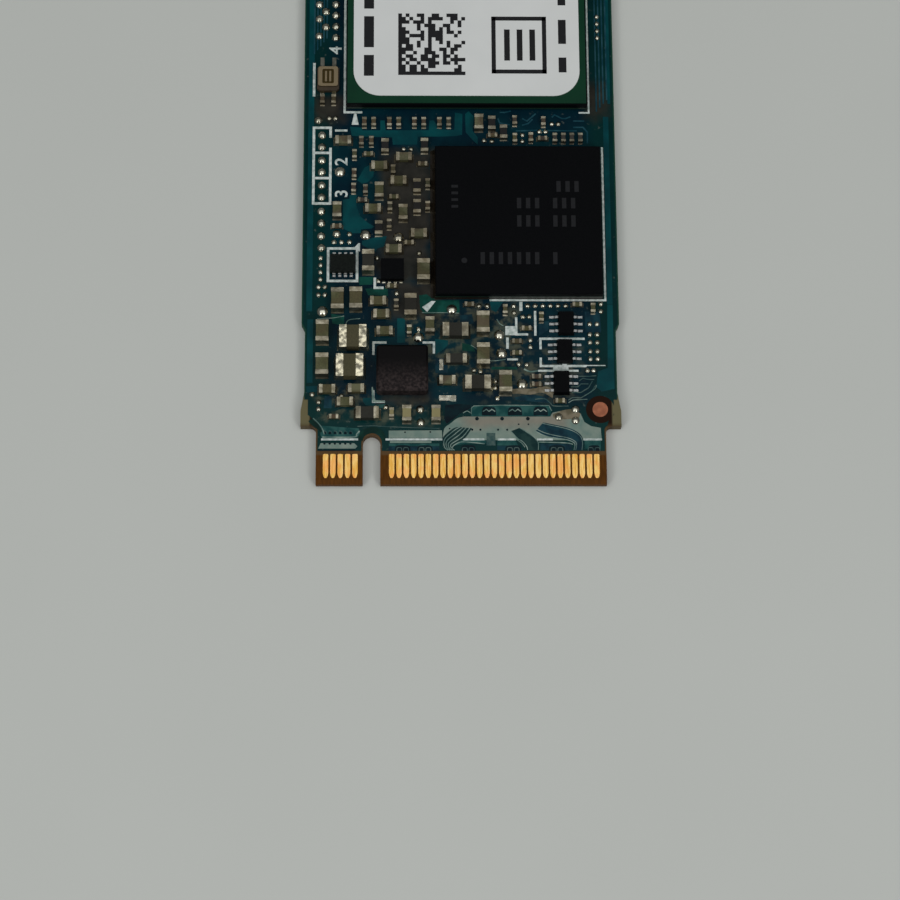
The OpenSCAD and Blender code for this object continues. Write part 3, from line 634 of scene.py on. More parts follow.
# %% Slabs
def slab(name, outlines, base, thickness, finish):
    """Closed prisms from outlines in card millimetres, standing base mm above the card."""
    vertices, faces = [], []
    for outline in outlines:
        turned = outline[1:] + outline[:1]
        area = sum(a[0] * b[1] - b[0] * a[1] for a, b in zip(outline, turned))
        ring = outline if area > 0 else outline[::-1]
        start, count = len(vertices), len(ring)
        vertices += [place(x, y, base) for x, y in ring]
        vertices += [place(x, y, base + thickness) for x, y in ring]
        faces.append([start + i for i in reversed(range(count))])
        faces.append([start + count + i for i in range(count)])
        for i in range(count):
            j = (i + 1) % count
            faces.append([start + i, start + j, start + count + j, start + count + i])
    mesh = bpy.data.meshes.new(name)
    mesh.from_pydata(vertices, [], faces)
    mesh.materials.append(finish.material)
    piece = bpy.data.objects.new(name, mesh)
    bpy.context.scene.collection.objects.link(piece)
    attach(piece, "root")
    print(name, "outlines:", len(outlines))
    return piece


print("slab recipe ready")

# %% [markdown]
# ### Outlines
# Most outlines are tracks, boxes and dots. Each could be typed corner by corner, but a function for
# each kind needs only its place and size. A track is mitred at each corner, so that it keeps its
# width in a bend.


# %% Outlines
def track(points, width):
    """The outline of a track of even width along a path."""
    left, right = [], []
    for i, point in enumerate(points):
        here = Vector(point)
        before = (here - Vector(points[i - 1])).normalized() if i else None
        after = (Vector(points[i + 1]) - here).normalized() if i + 1 < len(points) else None
        along = (before or after) + (after or before)
        along.normalize()
        across = Vector((-along.y, along.x))
        reach = width / 2 / max(0.5, along.dot(before or after))
        left.append(tuple(here + across * reach))
        right.append(tuple(here - across * reach))
    return left + right[::-1]


def rectangle(x_span, y_span):
    """The outline of a box on the card."""
    (left, right), (near, far) = x_span, y_span
    return [(left, near), (right, near), (right, far), (left, far)]


def disc(x, y, radius, sides=20):
    """The outline of a round dot."""
    turns = [2 * math.pi * i / sides for i in range(sides)]
    return [(x + radius * math.cos(t), y + radius * math.sin(t)) for t in turns]


print("corners of a disc:", len(disc(0, 0, 1)))

# %% [markdown]
# ## Copper under the mask
# Tracks and pours stand a hair above the laminate, and the mask follows them, so they read as
# shapes of their own. Their tint tells how much copper lies below: a pour is teal, a bundle of
# tracks is dark, and a gap in the copper is nearly navy. The ground behind the contacts is pale,
# partly from a painted reflection of the overhead light, and the pale lines along the tracks are
# painted highlights. The mask's own shader could draw them, at the cost of hundreds of nodes. Thin
# slabs of tinted lacquer give the same sharp outlines from lists of corners.

# %% Tints of the mask
def lacquer(name):
    """Solder mask that has settled over copper, still without a colour."""
    finish = Finish(name, roughness=0.3, specular=0.09)
    finish.bump(finish.noise(1.4, detail=3), 0.01, 0.3)
    return finish


def tinted_mask(name, low, high, per_mm=1.4):
    """Solder mask over one kind of copper, cloudy between two tones."""
    finish = lacquer(name)
    cloud = finish.between(finish.noise(per_mm, detail=3), 0.36, 0.66)
    finish.colour(finish.mix(cloud, low, high))
    return finish


pour_tint = tinted_mask("solder_mask_on_pour", tone(2, 54, 60), tone(2, 68, 72), 0.6)
green_tint = tinted_mask("solder_mask_on_green", tone(12, 62, 62), tone(44, 88, 84))
island_tint = tinted_mask("solder_mask_on_island", tone(4, 54, 46), tone(12, 72, 62))
rim_tint = tinted_mask("solder_mask_by_the_edge", tone(4, 34, 30), tone(8, 50, 42))
track_tint = tinted_mask("solder_mask_on_track", tone(12, 56, 68), tone(34, 74, 84))
gap_tint = tinted_mask("solder_mask_on_gap", tone(3, 18, 26), tone(4, 32, 38))
blue_tint = tinted_mask("solder_mask_on_blue", tone(8, 38, 50), tone(20, 58, 68))
band_tint = tinted_mask("solder_mask_on_band", tone(8, 40, 42), tone(30, 58, 56))
# Pale lines along the tracks: painted highlights.
highlight_tint = tinted_mask("solder_mask_painted_highlight", tone(84, 112, 106), tone(140, 158, 148))
grey_tint = tinted_mask("solder_mask_on_grey", tone(44, 74, 74), tone(86, 104, 98))
flux_tint = tinted_mask("flux_film", tone(92, 86, 68), tone(124, 116, 98), 2.0)
print("mask tints ready")

# %% [markdown]
# ### The pale ground
# The ground copper behind the contacts is the palest part of the card, mottled, with a warm stretch
# along its far side. Part of the paleness is a painted reflection of the overhead light, which the
# glossy lacquer mirrors there. The warm stretch could be an outline of its own, but it has no sharp
# edge. It is the same lacquer with two tones of its own and a ragged patch laid over them.

# %% Tint of the ground
pale_glare_tint = lacquer("solder_mask_on_pale_and_glare")
mottle = pale_glare_tint.noise(2.0, detail=4)
# Pale tones: ground copper under the lacquer, with painted reflection of the overhead light.
pale = pale_glare_tint.mix(mottle, tone(82, 114, 108), tone(142, 152, 140))
warm = pale_glare_tint.patch((0.1, 7.2), (4.0, 4.9), soft=0.5, ragged=0.4)
pale_glare_tint.colour(pale_glare_tint.mix(pale_glare_tint.number("MULTIPLY", warm, 0.6), pale, tone(136, 120, 106)))
print("ground tint nodes:", len(pale_glare_tint.tree.nodes))

# %% [markdown]
# ### Heights of the copper
# Outlines of one kind keep apart, and each kind has a height of its own, so that shapes of two
# kinds may cross. Two faces at the same height would flicker where they overlap. The steps are a
# few thousandths of a millimetre, too small to see from the side.

# %% Heights of the copper
copper_height = {
    "ground_copper": 0.009,
    "blue_copper": 0.010,
    "blue_islands": 0.010,
    "flux_film": 0.0105,
    "copper_pours": 0.011,
    "green_copper": 0.012,
    "green_islands": 0.012,
    "bare_rims": 0.013,
    "copper_gaps": 0.014,
    "blue_bundle": 0.016,
    "dark_bundles": 0.017,
    "soft_lines": 0.018,
    "copper_tracks": 0.019,
    "painted_highlight_lines": 0.020,
}


def copper_slab(name, outlines, tint):
    """Copper of one kind with its lacquer, standing on the card at the height of its kind."""
    return slab(name, outlines, 0, copper_height[name], tint)


print("kinds of copper:", len(copper_height))

# %% [markdown]
# ### Smooth lines
# A bundle of tracks has a smooth run. A Bezier curve could draw it, but its handles are twice as
# many numbers to set by hand. Here its edges and lines are given by a few points each, and rounded
# by a curve that passes through all of them.


# %% Smooth lines
def smooth(points, steps=4):
    """A rounded path through every point."""
    ends = [points[0]] + list(points) + [points[-1]]
    path = []
    for i in range(1, len(ends) - 2):
        before, start, end, after = (Vector(ends[i + j]) for j in (-1, 0, 1, 2))
        for step in range(steps):
            t = step / steps
            drift = (end - before) * t
            bend = (2 * before - 5 * start + 4 * end - after) * t * t
            swing = (3 * start - before - 3 * end + after) * t ** 3
            path.append(tuple(0.5 * (2 * start + drift + bend + swing)))
    return path + [tuple(points[-1])]


def ribbon(left, right):
    """The area between two smooth edges that run the same way."""
    return smooth(left) + smooth(right)[::-1]


def hump(middle, y_span, width):
    """A flat-topped arch, like the edge of a gap that is left round a pair of pads."""
    low, high = y_span
    half = width / 2
    bend_y = low + (high - low) * 0.65
    left = [(middle - half, low), (middle - half * 0.96, bend_y), (middle - half * 0.6, high)]
    right = [(middle + half * 0.6, high), (middle + half * 0.96, bend_y), (middle + half, low)]
    return smooth(left + right)


print("points of a rounded arch:", len(hump(0, (0, 1), 1)))

# %% [markdown]
# ### Behind the contacts
# The ground copper is broad here and catches the light. It could be one sheet with holes, but
# separate outlines that keep apart are simpler to draw and to change, and dark gaps go over them
# later.

# %% Ground copper
ground = [
    smooth([(-1.28, 3.1), (-1.2, 3.73), (-1.08, 4.03), (-0.74, 4.28), (-0.3, 4.64), (0.18, 4.78)])
    + [(6.1, 4.78), (6.28, 5.06), (6.9, 5.2), (7.6, 5.3), (8.2, 5.0), (8.45, 4.4), (8.9, 4.1),
       (9.56, 3.98), (9.62, 3.1)],
    [(-4.95, 3.25), (-1.3, 3.25), (-1.32, 3.8), (-4.95, 3.78)],
    [(-4.87, 2.9), (-2.04, 2.9), (-2.04, 3.04), (-4.87, 3.04)],
    [(-9.76, 2.5), (-7.24, 2.5), (-7.09, 2.66), (-7.3, 2.88), (-9.6, 2.88)],
    smooth([(-1.55, 6.11), (-1.31, 6.25), (-0.87, 6.27), (-0.34, 6.16)])
    + [(-0.33, 5.86), (-0.63, 5.86), (-1.07, 6.01)],
]
copper_slab("ground_copper", ground, pale_glare_tint)

# %% [markdown]
# ### Teal and blue copper
# Above the ground runs a teal band with slanting ends, and short teal strips lie by the key. Where
# there is less copper in the layers below, the lacquer looks bluer. Most of these edges are
# straight, so they need no rounding, and plain outlines will do.

# %% Teal and blue copper
band_green = [
    [(0.71, 4.8), (0.71, 5.39), (0.86, 5.52), (2.68, 5.58), (6.04, 5.56), (6.2, 5.2), (6.15, 4.8)],
    [(-9.79, 4.08), (-9.59, 4.13), (-7.0, 3.93), (-6.91, 3.58), (-7.1, 3.27), (-9.54, 3.26)],
    [(-4.95, 2.68), (-1.5, 2.68), (-1.5, 2.86), (-4.95, 2.86)],
    [(8.44, 2.5), (9.54, 2.5), (9.54, 3.09), (8.44, 3.09)],
    [(-0.5, 2.72), (0.4, 2.86), (1.7, 2.86), (1.7, 3.08), (-0.1, 3.08)],
    [(2.46, 2.72), (3.9, 2.72), (3.7, 3.08), (2.46, 3.08)],
    [(-5.81, 5.63), (-5.19, 5.68), (-5.09, 5.43), (-5.71, 5.38)],
]
copper_slab("green_copper", band_green, green_tint)

band_blue = [
    [(-4.95, 2.33), (-1.5, 2.33), (-1.5, 2.66), (-4.95, 2.66)],
    ribbon([(3.65, 6.15), (4.58, 6.34), (5.43, 6.28), (5.92, 6.09)],
           [(3.83, 5.96), (4.6, 5.9), (5.43, 5.8), (6.1, 5.75)]),
    [(2.46, 2.4), (4.2, 2.4), (3.95, 2.7), (2.46, 2.7)],
    [(5.4, 2.4), (7.6, 2.4), (7.5, 2.82), (5.4, 2.86)],
]
copper_slab("blue_copper", band_blue, blue_tint)

# %% [markdown]
# ### Gaps in the copper
# Copper is kept clear of pads and vias, which leaves dark arches and dots. They could be cut out of
# the ground with boolean cuts, which are fragile in sheets this thin. A dark slab that stands a
# little higher hides what is below it and needs no cut. The rims round the key and along one
# shoulder, where the copper stops short of the edge, are made in the same way.

# %% Gaps in the copper
arch_x = (1.92, 3.7, 5.46)
comb_step = 0.352
pair_gaps = [(-4.0, 1.06), (-2.48, 1.06), (0.47, 1.0), (3.55, 1.1), (6.54, 1.1), (9.08, 0.8)]
gaps = [hump(x, (2.33, 2.72), width) for x, width in pair_gaps]
gaps += [hump(x, (4.86, 5.47), 0.98) for x in arch_x]
gaps += [disc(x, 4.63, 0.13) for x in (1.09, 2.81, 4.58)]
gaps += [disc(x, 3.84, 0.075, 12) for x in (0.76, 1.32, 2.53, 3.15)]
lone_dots = ((-3.84, 3.66), (-2.11, 3.68), (-0.79, 3.92), (3.94, 4.23), (4.61, 4.23))
gaps += [disc(x, y, 0.06, 12) for x, y in lone_dots]
gaps += [disc(-9.34 + 0.355 * i, 2.85, 0.08, 12) for i in range(6)]
gaps += [disc(-9.33 + comb_step * i, 3.6, 0.1, 12) for i in range(6)]
gaps += [
    [(-1.07, 5.6), (-0.35, 5.66), (0.1, 5.66), (0.64, 5.6), (0.6, 5.34), (-0.06, 5.0), (-0.4, 4.7),
     (-1.0, 4.25), (-1.17, 4.63)],
    [(-9.77, 2.33), (-7.24, 2.33), (-7.24, 2.42), (-9.77, 2.42)],
]
copper_slab("copper_gaps", gaps, gap_tint)

rims = [
    ribbon([(-6.98, 3.08), (-7.02, 3.38), (-6.81, 3.73), (-6.43, 3.95),
            (-6.0, 4.03), (-5.52, 3.88), (-5.23, 3.53), (-5.16, 3.1)],
           [(-6.73, 3.05), (-6.7, 3.2), (-6.55, 3.42), (-6.3, 3.55),
            (-6.0, 3.6), (-5.7, 3.53), (-5.5, 3.35), (-5.42, 3.05)]),
    ribbon([(-10.3, 4.6), (-10.0, 4.42), (-9.69, 4.1), (-9.5, 3.73)],
           [(-10.45, 4.43), (-10.12, 4.08), (-9.78, 3.83), (-9.62, 3.6)]),
]
copper_slab("bare_rims", rims, rim_tint)

# %% [markdown]
# ### Bundles that leave the contacts
# Three bundles of tracks swing from the contacts into the card. Single tracks would be finer than
# the eye can part here, so each bundle is one dark band between two smooth edges, and painted
# highlight lines go on top of it in the next step.

# %% Bundles that leave the contacts
first_left = [
    (-1.0, 2.38), (-1.25, 2.6), (-1.3, 3.03), (-1.22, 3.33), (-0.93, 3.63), (-0.55, 3.93),
    (-0.26, 4.03),
]
first_right = [
    (-0.36, 2.38), (-0.56, 2.53), (-0.6, 2.73), (-0.27, 2.93), (0.17, 3.18), (0.41, 3.43),
    (0.75, 3.95),
]
second_left = [(3.41, 3.74), (3.8, 3.28), (4.23, 2.96), (4.47, 2.64), (4.53, 2.4)]
second_right = [(4.02, 3.98), (4.54, 3.63), (5.02, 3.28), (5.26, 2.9), (5.26, 2.4)]
dark_bundles = [ribbon(first_left, first_right), ribbon(second_left, second_right)]
copper_slab("dark_bundles", dark_bundles, band_tint)

third_outer = [
    (5.62, 4.36), (6.26, 4.23), (7.24, 4.01), (7.85, 3.75), (8.24, 3.4), (8.35, 2.96),
    (8.31, 2.4),
]
third_inner = [
    (5.1, 3.74), (5.58, 3.47), (6.25, 3.28), (6.98, 3.18), (7.47, 3.05), (7.77, 2.83),
    (7.7, 2.4),
]
copper_slab("blue_bundle", [ribbon(third_outer, third_inner)], blue_tint)

# %% [markdown]
# ### Painted highlights
# Each track catches the light along one side, and that highlight is painted as a pale line. A curve
# object with a bevel would make such a line, but a flat outline stays within the lacquer and costs
# fewer faces. The lines of a bundle are worked out between its two edges, so they keep its swing
# and never cross.


# %% Lines along a bundle
def between_edges(left, right, share):
    """A line that keeps to one share of the way from one edge of a bundle to the other."""
    return [tuple(Vector(a).lerp(Vector(b), share)) for a, b in zip(left, right)]


def curved(width, *points):
    """A painted highlight line of one width through the points, rounded."""
    return track(smooth(points), width)


bundle_line, fine_bundle_line = 0.055, 0.045
highlight_outlines = []
for share in (0.16, 0.38, 0.6, 0.84):
    highlight_outlines.append(curved(bundle_line, *between_edges(first_left, first_right, share)))
for edge in (second_left, second_right, third_inner):
    highlight_outlines.append(curved(bundle_line, *edge))
for share in (0.1, 0.8):
    highlight_outlines.append(curved(fine_bundle_line, *between_edges(third_outer, third_inner, share)))
print("lines along the bundles:", len(highlight_outlines))

# %% [markdown]
# ### Single painted highlights
# The other painted highlight lines lie on edges of copper near the contacts and on short tracks
# between the chip parts. No two run alike, so they can't come from a loop and each follows points of
# its own. The three common widths have names, and the few wider lines stand for tracks that run side
# by side.

# %% Painted highlight lines
hair, fine, plain_line = 0.04, 0.05, 0.06
highlight_outlines += [
    curved(0.07, (5.26, 2.96), (5.63, 2.96), (7.16, 2.9), (7.64, 2.8)),
    curved(fine, (3.8, 3.12), (4.1, 2.92), (4.36, 2.6)),
    curved(plain_line, (-0.65, 2.5), (-0.5, 2.73), (-0.07, 2.95), (0.41, 2.96), (1.6, 2.84)),
    curved(plain_line, (-10.13, 4.66), (-9.79, 4.33), (-9.5, 3.93), (-9.36, 3.5)),
    curved(0.09, (-9.49, 3.31), (-7.38, 3.31), (-7.14, 3.53), (-6.95, 3.75)),
    curved(plain_line, (-7.06, 5.38), (-6.53, 5.41), (-6.05, 5.43), (-5.81, 5.58)),
    curved(fine, (-7.92, 11.5), (-7.82, 11.69), (-7.57, 11.8), (-6.94, 11.86)),
    curved(fine, (0.13, 5.03), (0.42, 5.18), (0.66, 5.03)),
    track([(-9.93, 11.85), (-8.8, 11.9), (-8.05, 12.05)], hair),
    track([(-2.68, 12.3), (-1.29, 12.3), (-0.09, 12.26)], hair),
    curved(fine, (0.71, 9.93), (1.15, 9.61), (1.45, 8.98), (2.12, 8.79), (3.09, 8.89)),
    curved(fine, (2.52, 11.83), (2.71, 11.51), (2.97, 11.35)),
    curved(0.1, (4.36, 8.2), (4.8, 8.01), (5.33, 8.08)),
    track([(0.71, 4.95), (0.71, 5.4), (0.88, 5.54), (2.68, 5.6), (6.04, 5.58), (6.22, 5.2)], hair),
    curved(hair, (7.39, 5.77), (7.7, 5.96), (8.19, 5.99), (8.69, 6.03)),
    curved(hair, (8.51, 6.28), (8.82, 6.47), (9.25, 6.8), (9.32, 7.05)),
    [(-6.13, 6.9), (-6.05, 6.9), (-5.95, 6.2), (-5.86, 5.95), (-5.2, 5.9), (-5.2, 5.8), (-6.06, 5.8),
     (-6.12, 6.1)],
]
for x in arch_x:
    zigzag = [(x - 0.42, 5.14), (x - 0.18, 5.3), (x, 5.15), (x + 0.2, 5.3), (x + 0.42, 5.14)]
    highlight_outlines.append(track(zigzag, plain_line))
copper_slab("painted_highlight_lines", highlight_outlines, highlight_tint)

# %% [markdown]
# ### Fainter lines
# Lines that lie deeper look greyer: rings in the gaps behind the contacts, hooks at the comb by the
# key, and short tracks behind the right shoulder. One material could fade them by place, but a
# second lacquer is simpler and keeps both kinds apart in the list of pieces.

# %% Soft lines
soft_lines = []
for x, width in pair_gaps:
    soft_lines += [track(hump(x + side, (2.33, 2.56), 0.34), fine) for side in (-0.23, 0.23)]
for i in range(6):
    x = comb_step * i
    soft_lines.append(track([(-9.4 + x, 3.76), (-9.24 + x, 3.72), (-9.15 + x, 3.5)], fine))
soft_lines += [
    curved(fine, (-7.1, 4.08), (-5.95, 4.12), (-5.09, 4.06), (-1.5, 3.93)),
    [(1.73, 2.72), (2.34, 2.72), (2.34, 3.1), (2.34, 3.6), (1.73, 3.6)],
    track([(7.6, 6.92), (8.06, 6.92), (8.27, 7.13), (8.79, 7.13)], plain_line),
    track([(7.6, 6.51), (8.25, 6.51), (8.79, 6.85), (9.06, 7.34)], plain_line),
    track([(7.39, 5.96), (7.64, 6.14), (8.25, 6.12), (8.98, 6.58), (9.25, 6.99)], plain_line),
    track([(8.08, 7.68), (8.8, 7.68), (9.33, 7.72)], plain_line),
    track([(8.14, 7.34), (8.41, 7.54), (8.67, 7.47), (9.19, 7.44)], plain_line),
    curved(plain_line, (5.09, 6.02), (5.75, 6.06), (6.14, 5.75), (6.39, 5.54), (7.38, 5.54)),
]
copper_slab("soft_lines", soft_lines, grey_tint)

# %% [markdown]
# ### Flux
# Flux that boiled off while the card was soldered has dried to a thin brown film behind the
# contacts. It could be one more layer of the mask's shader, but it lies on the pale copper as well,
# so it is a thin slab with a warm lacquer of its own.

# %% Flux
flux = [
    ribbon([(3.51, 6.74), (4.1, 6.8), (4.86, 6.78), (5.79, 6.95), (6.4, 6.7)],
           [(3.54, 6.42), (4.1, 6.42), (4.79, 6.36), (5.6, 6.5), (6.3, 6.1)]),
    ribbon([(6.3, 4.95), (6.9, 5.2), (7.6, 5.3), (8.2, 5.0)],
           [(6.3, 4.7), (6.9, 4.6), (7.5, 4.6), (8.1, 4.7)]),
]
copper_slab("flux_film", flux, flux_tint)

# %% [markdown]
# ### Between the packages
# Between the packages the copper is poured in islands with slanting ends, which carry current and
# spread heat. Random shapes would fill the space too, but would look random. These outlines follow
# a real card's corner by corner near the contacts, and plain long strips go on to the far end.

# %% Copper pours
pours = [
    [(-7.74, 26.2), (-6.91, 26.13), (-6.85, 25.92), (-5.59, 25.93), (-5.59, 26.68), (-5.27, 26.68),
     (-5.21, 25.93), (-2.17, 25.94), (-2.11, 26.69), (-1.79, 26.69), (-1.37, 26.01), (-0.35, 25.97),
     (-0.3, 27.3), (0.23, 27.2), (0.2, 25.6), (-0.3, 25.5), (-1.37, 25.46), (-2.93, 25.46),
     (-3.0, 24.85), (-4.7, 24.84), (-4.76, 25.38), (-6.85, 25.45), (-7.61, 25.51)],
    [(-7.21, 22.13), (-6.71, 23.07), (-6.21, 23.35), (-6.02, 22.94), (-6.08, 22.4),
     (-6.46, 22.0), (-6.83, 21.86)],
    [(-7.74, 21.02), (-7.2, 21.03), (-7.26, 20.24), (-6.99, 19.45), (-6.45, 18.95), (-5.98, 18.66),
     (-6.18, 18.52), (-6.92, 18.45), (-6.92, 18.16), (-7.52, 18.16), (-8.19, 18.52),
     (-8.21, 20.66), (-7.74, 20.74)],
    [(-5.85, 17.88), (-5.11, 17.95), (-5.31, 17.17), (-5.78, 17.02), (-5.98, 16.74), (-6.85, 17.31),
     (-6.85, 17.59)],
    [(-1.77, 10.38), (-0.87, 10.28), (-0.87, 9.95), (-1.2, 9.62), (-1.57, 9.36), (-1.77, 9.2)],
    [(-4.39, 10.1), (-3.83, 10.1), (-3.83, 11.88), (-4.39, 11.88)],
    [(2.03, 13.18), (3.02, 13.18), (2.48, 12.34), (2.15, 12.48)],
    [(10.2, 12.91), (10.58, 12.91), (10.58, 6.78), (9.7, 6.58), (9.32, 6.92), (9.47, 8.03),
     (10.14, 8.3)],
    [(0.45, 25.8), (0.92, 25.23), (1.3, 24.85), (1.3, 25.4), (0.95, 25.9), (1.05, 27.0),
     (0.67, 27.41), (0.42, 27.2)],
    [(-10.66, 6.94), (-9.81, 6.99), (-9.81, 6.59), (-10.58, 6.49)],
    [(-6.73, 6.09), (-6.2, 6.14), (-6.0, 5.84), (-5.81, 5.79), (-5.95, 5.53), (-6.53, 5.58),
     (-6.72, 5.84)],
    rectangle((10.2, 10.58), (12.95, 27.0)),
    rectangle((-10.68, -10.28), (12.4, 78.5)),
    rectangle((-10.6, -10.2), (7.2, 11.8)),
    rectangle((10.55, 10.75), (28.0, 78.5)),
    rectangle((-8.2, 8.9), (57.0, 58.0)),
    rectangle((-9.0, -5.8), (74.4, 78.2)),
    rectangle((5.8, 9.0), (74.4, 78.2)),
]
copper_slab("copper_pours", pours, pour_tint)

# %% [markdown]
# ### Greener and bluer islands
# Some islands look greener and some bluer, by the copper of the layers under them. A noise could
# tint the pours, but then the tone would not follow the outlines. So each of the two tones has a
# slab of its own.

# %% Islands
green_islands = [
    [(-7.05, 14.92), (-6.03, 14.92), (-6.11, 14.36), (-7.01, 14.32)],
    [(-6.6, 14.06), (-5.05, 14.13), (-5.01, 13.53), (-6.4, 13.57)],
    [(-2.87, 13.57), (-2.34, 13.65), (-1.7, 13.21), (-0.08, 13.22), (-0.05, 12.3), (-2.5, 12.22),
     (-2.79, 12.62)],
    [(-8.95, 12.21), (-8.05, 12.05), (-8.05, 11.34), (-8.87, 11.5)],
    [(0.11, 10.09), (0.86, 9.93), (1.0, 9.46), (0.1, 9.53)],
    [(2.12, 8.36), (3.83, 8.36), (3.91, 8.16), (2.11, 8.16)],
]
copper_slab("green_islands", green_islands, island_tint)

blue_islands = [
    [(-9.35, 6.24), (-8.87, 6.24), (-8.86, 5.38), (-9.42, 5.38)],
    [(5.45, 11.67), (6.13, 11.67), (6.08, 11.04), (5.44, 10.64)],
    [(8.63, 12.39), (9.68, 12.39), (9.73, 10.88), (8.67, 10.88)],
    [(-0.03, 12.1), (0.8, 12.2), (0.94, 11.51), (-0.03, 11.35)],
    [(-1.76, 9.0), (-0.9, 9.0), (-0.9, 7.9), (-1.76, 7.9)],
]
copper_slab("blue_islands", blue_islands, blue_tint)

# %% [markdown]
# ### Copper tracks
# Short tracks join the pours to the pads, and two bundles run along the card on both sides of the
# label. A bundle is one path again and again with a shift, so a loop makes it, while the short
# tracks are listed by their corners.

# %% Copper tracks
track_width = 0.1
tracks = [
    [(2.87, 27.32), (3.23, 27.32), (3.67, 27.42)],
    [(2.74, 26.85), (2.86, 26.51), (3.57, 26.37)],
    [(4.46, 26.85), (4.81, 26.66), (5.43, 27.23)],
    [(4.45, 26.33), (4.89, 26.47), (5.2, 26.8)],
    [(6.58, 26.95), (6.76, 27.14), (7.28, 26.86), (7.55, 26.86), (7.9, 27.0)],
    [(8.07, 26.67), (8.87, 26.67)],
    [(8.07, 26.19), (8.77, 26.19), (9.07, 25.81), (9.06, 24.96)],
    [(4.0, 25.9), (5.42, 25.95), (8.33, 25.91)],
]
left_step, right_step = 0.22, 0.25
for i in range(5):
    x = -10.3 + left_step * i
    tracks.append([(x, 31.8 + 0.3 * i), (x, 45), (x + 0.4, 46), (x + 0.4, 56)])
for i in range(4):
    x = 9.75 + right_step * i
    tracks.append([(x, 27.4 + 0.3 * i), (x, 56), (x - 0.6, 58), (x - 0.6, 68)])
copper_slab("copper_tracks", [track(points, track_width) for points in tracks], track_tint)

# %% [markdown]
# ## Label print
# The print is plain: a block of square modules, bars where lines of print would run, and a framed
# panel. A painted image would blur close up, and plain shapes stay sharp. The modules come from a
# seeded shuffle, so they mean nothing and are the same each time.

# %% Label print
label_lift = height_of("label_face")
print_height = 0.012
module_size = 0.264
code_corner = (-4.32, 29.67)
code_modules = 18
dark_share = 0.46
shuffle = random.Random(7)
marks = []
for column in range(code_modules):
    for row in range(code_modules):
        on_border = column == 0 or row == 0
        if on_border or shuffle.random() < dark_share:
            x = code_corner[0] + column * module_size
            y = code_corner[1] + row * module_size
            marks.append(rectangle((x, x + module_size), (y, y + module_size)))
print("dark modules:", len(marks))

# %% [markdown]
# ### Panel and bars
# The panel is four bars round three more. Down both sides of the label run bars of three lengths,
# and a block of long bars fills the middle. The lengths could be listed, but the same shuffle draws
# them in one loop, and they come out uneven, as lines of print do.


# %% Panel and bars
def frame_outline(x_span, y_span, line):
    """Four bars that frame a rectangle."""
    return [
        rectangle(x_span, (y_span[0], y_span[0] + line)),
        rectangle(x_span, (y_span[1] - line, y_span[1])),
        rectangle((x_span[0], x_span[0] + line), y_span),
        rectangle((x_span[1] - line, x_span[1]), y_span),
    ]


marks += frame_outline((2.3, 6.2), (29.8, 34.2), 0.3)
marks += [rectangle((3.2 + 0.9 * i, 3.6 + 0.9 * i), (30.8, 33.2)) for i in range(3)]
left_bar, right_bar = (-6.75, -6.05), (7.05, 7.6)
bar_lengths, bar_gap = (1.6, 2.4, 3.4), 0.6
y, last_bar = 29.6, 51
while y < last_bar:
    length = shuffle.choice(bar_lengths)
    marks.append(rectangle(left_bar, (y, y + length)))
    marks.append(rectangle(right_bar, (y + 0.3, y + length * 0.9)))
    y += length + bar_gap
marks.append(rectangle((0.8, 5.8), (35.6, 37.4)))
marks += [rectangle((-4.2 + 1.3 * i, -3.4 + 1.3 * i), (38.5, 50.0)) for i in range(7)]
slab("label_print", marks, label_lift, print_height, label_ink)

# %% [markdown]
# ## Screened digits
# The boxed test pads are named by a character beside them, printed through a screen. Plain digits
# stand there, turned a quarter like the rest of the card's marking. They could be drawn from
# strokes, but a text object knows how digits look. It is turned into a mesh, so that no font is
# needed afterwards.


# %% Screened digits
ink_height = 0.008
stroke_growth = 0.016
size_of_capitals = 1.35


def digit(character, x, y, height=0.92):
    """One screened character, turned a quarter to the left."""
    curve = bpy.data.curves.new("digit_" + character, "FONT")
    curve.body = character
    curve.align_x = "CENTER"
    curve.align_y = "CENTER"
    curve.size = height * size_of_capitals * MM
    curve.extrude = ink_height * MM
    curve.offset = stroke_growth * MM
    holder = bpy.data.objects.new("digit_outline", curve)
    bpy.context.scene.collection.objects.link(holder)
    bpy.context.view_layer.update()
    outline = holder.evaluated_get(bpy.context.evaluated_depsgraph_get())
    mesh = bpy.data.meshes.new_from_object(outline)
    bpy.data.objects.remove(holder)
    quarter_turn = Matrix.Rotation(math.pi / 2, 4, "Z")
    mesh.transform(Matrix.Translation(place(x, y, ink_height)) @ quarter_turn)
    mesh.materials.clear()
    mesh.materials.append(silk.material)
    piece = bpy.data.objects.new("screened_digit_" + character, mesh)
    bpy.context.scene.collection.objects.link(piece)
    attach(piece, "root")
    return piece


digit_places = [("1", -8.3, 25.9), ("2", -8.29, 23.54), ("3", -8.27, 21.12), ("4", -8.75, 32.09)]
for character, x, y in digit_places:
    digit(character, x, y)
print("digits:", len(digit_places))

# %% [markdown]
# ## Marks on the controller
# Package marking is burnt in by laser and hardly stands out from the compound. It could be a bump
# in the cap's material, which would need a mask for every mark. Thin slabs in a grey a little
# lighter than the cap are easier to place: short dashes in rows, with a round index mark by the
# first corner.

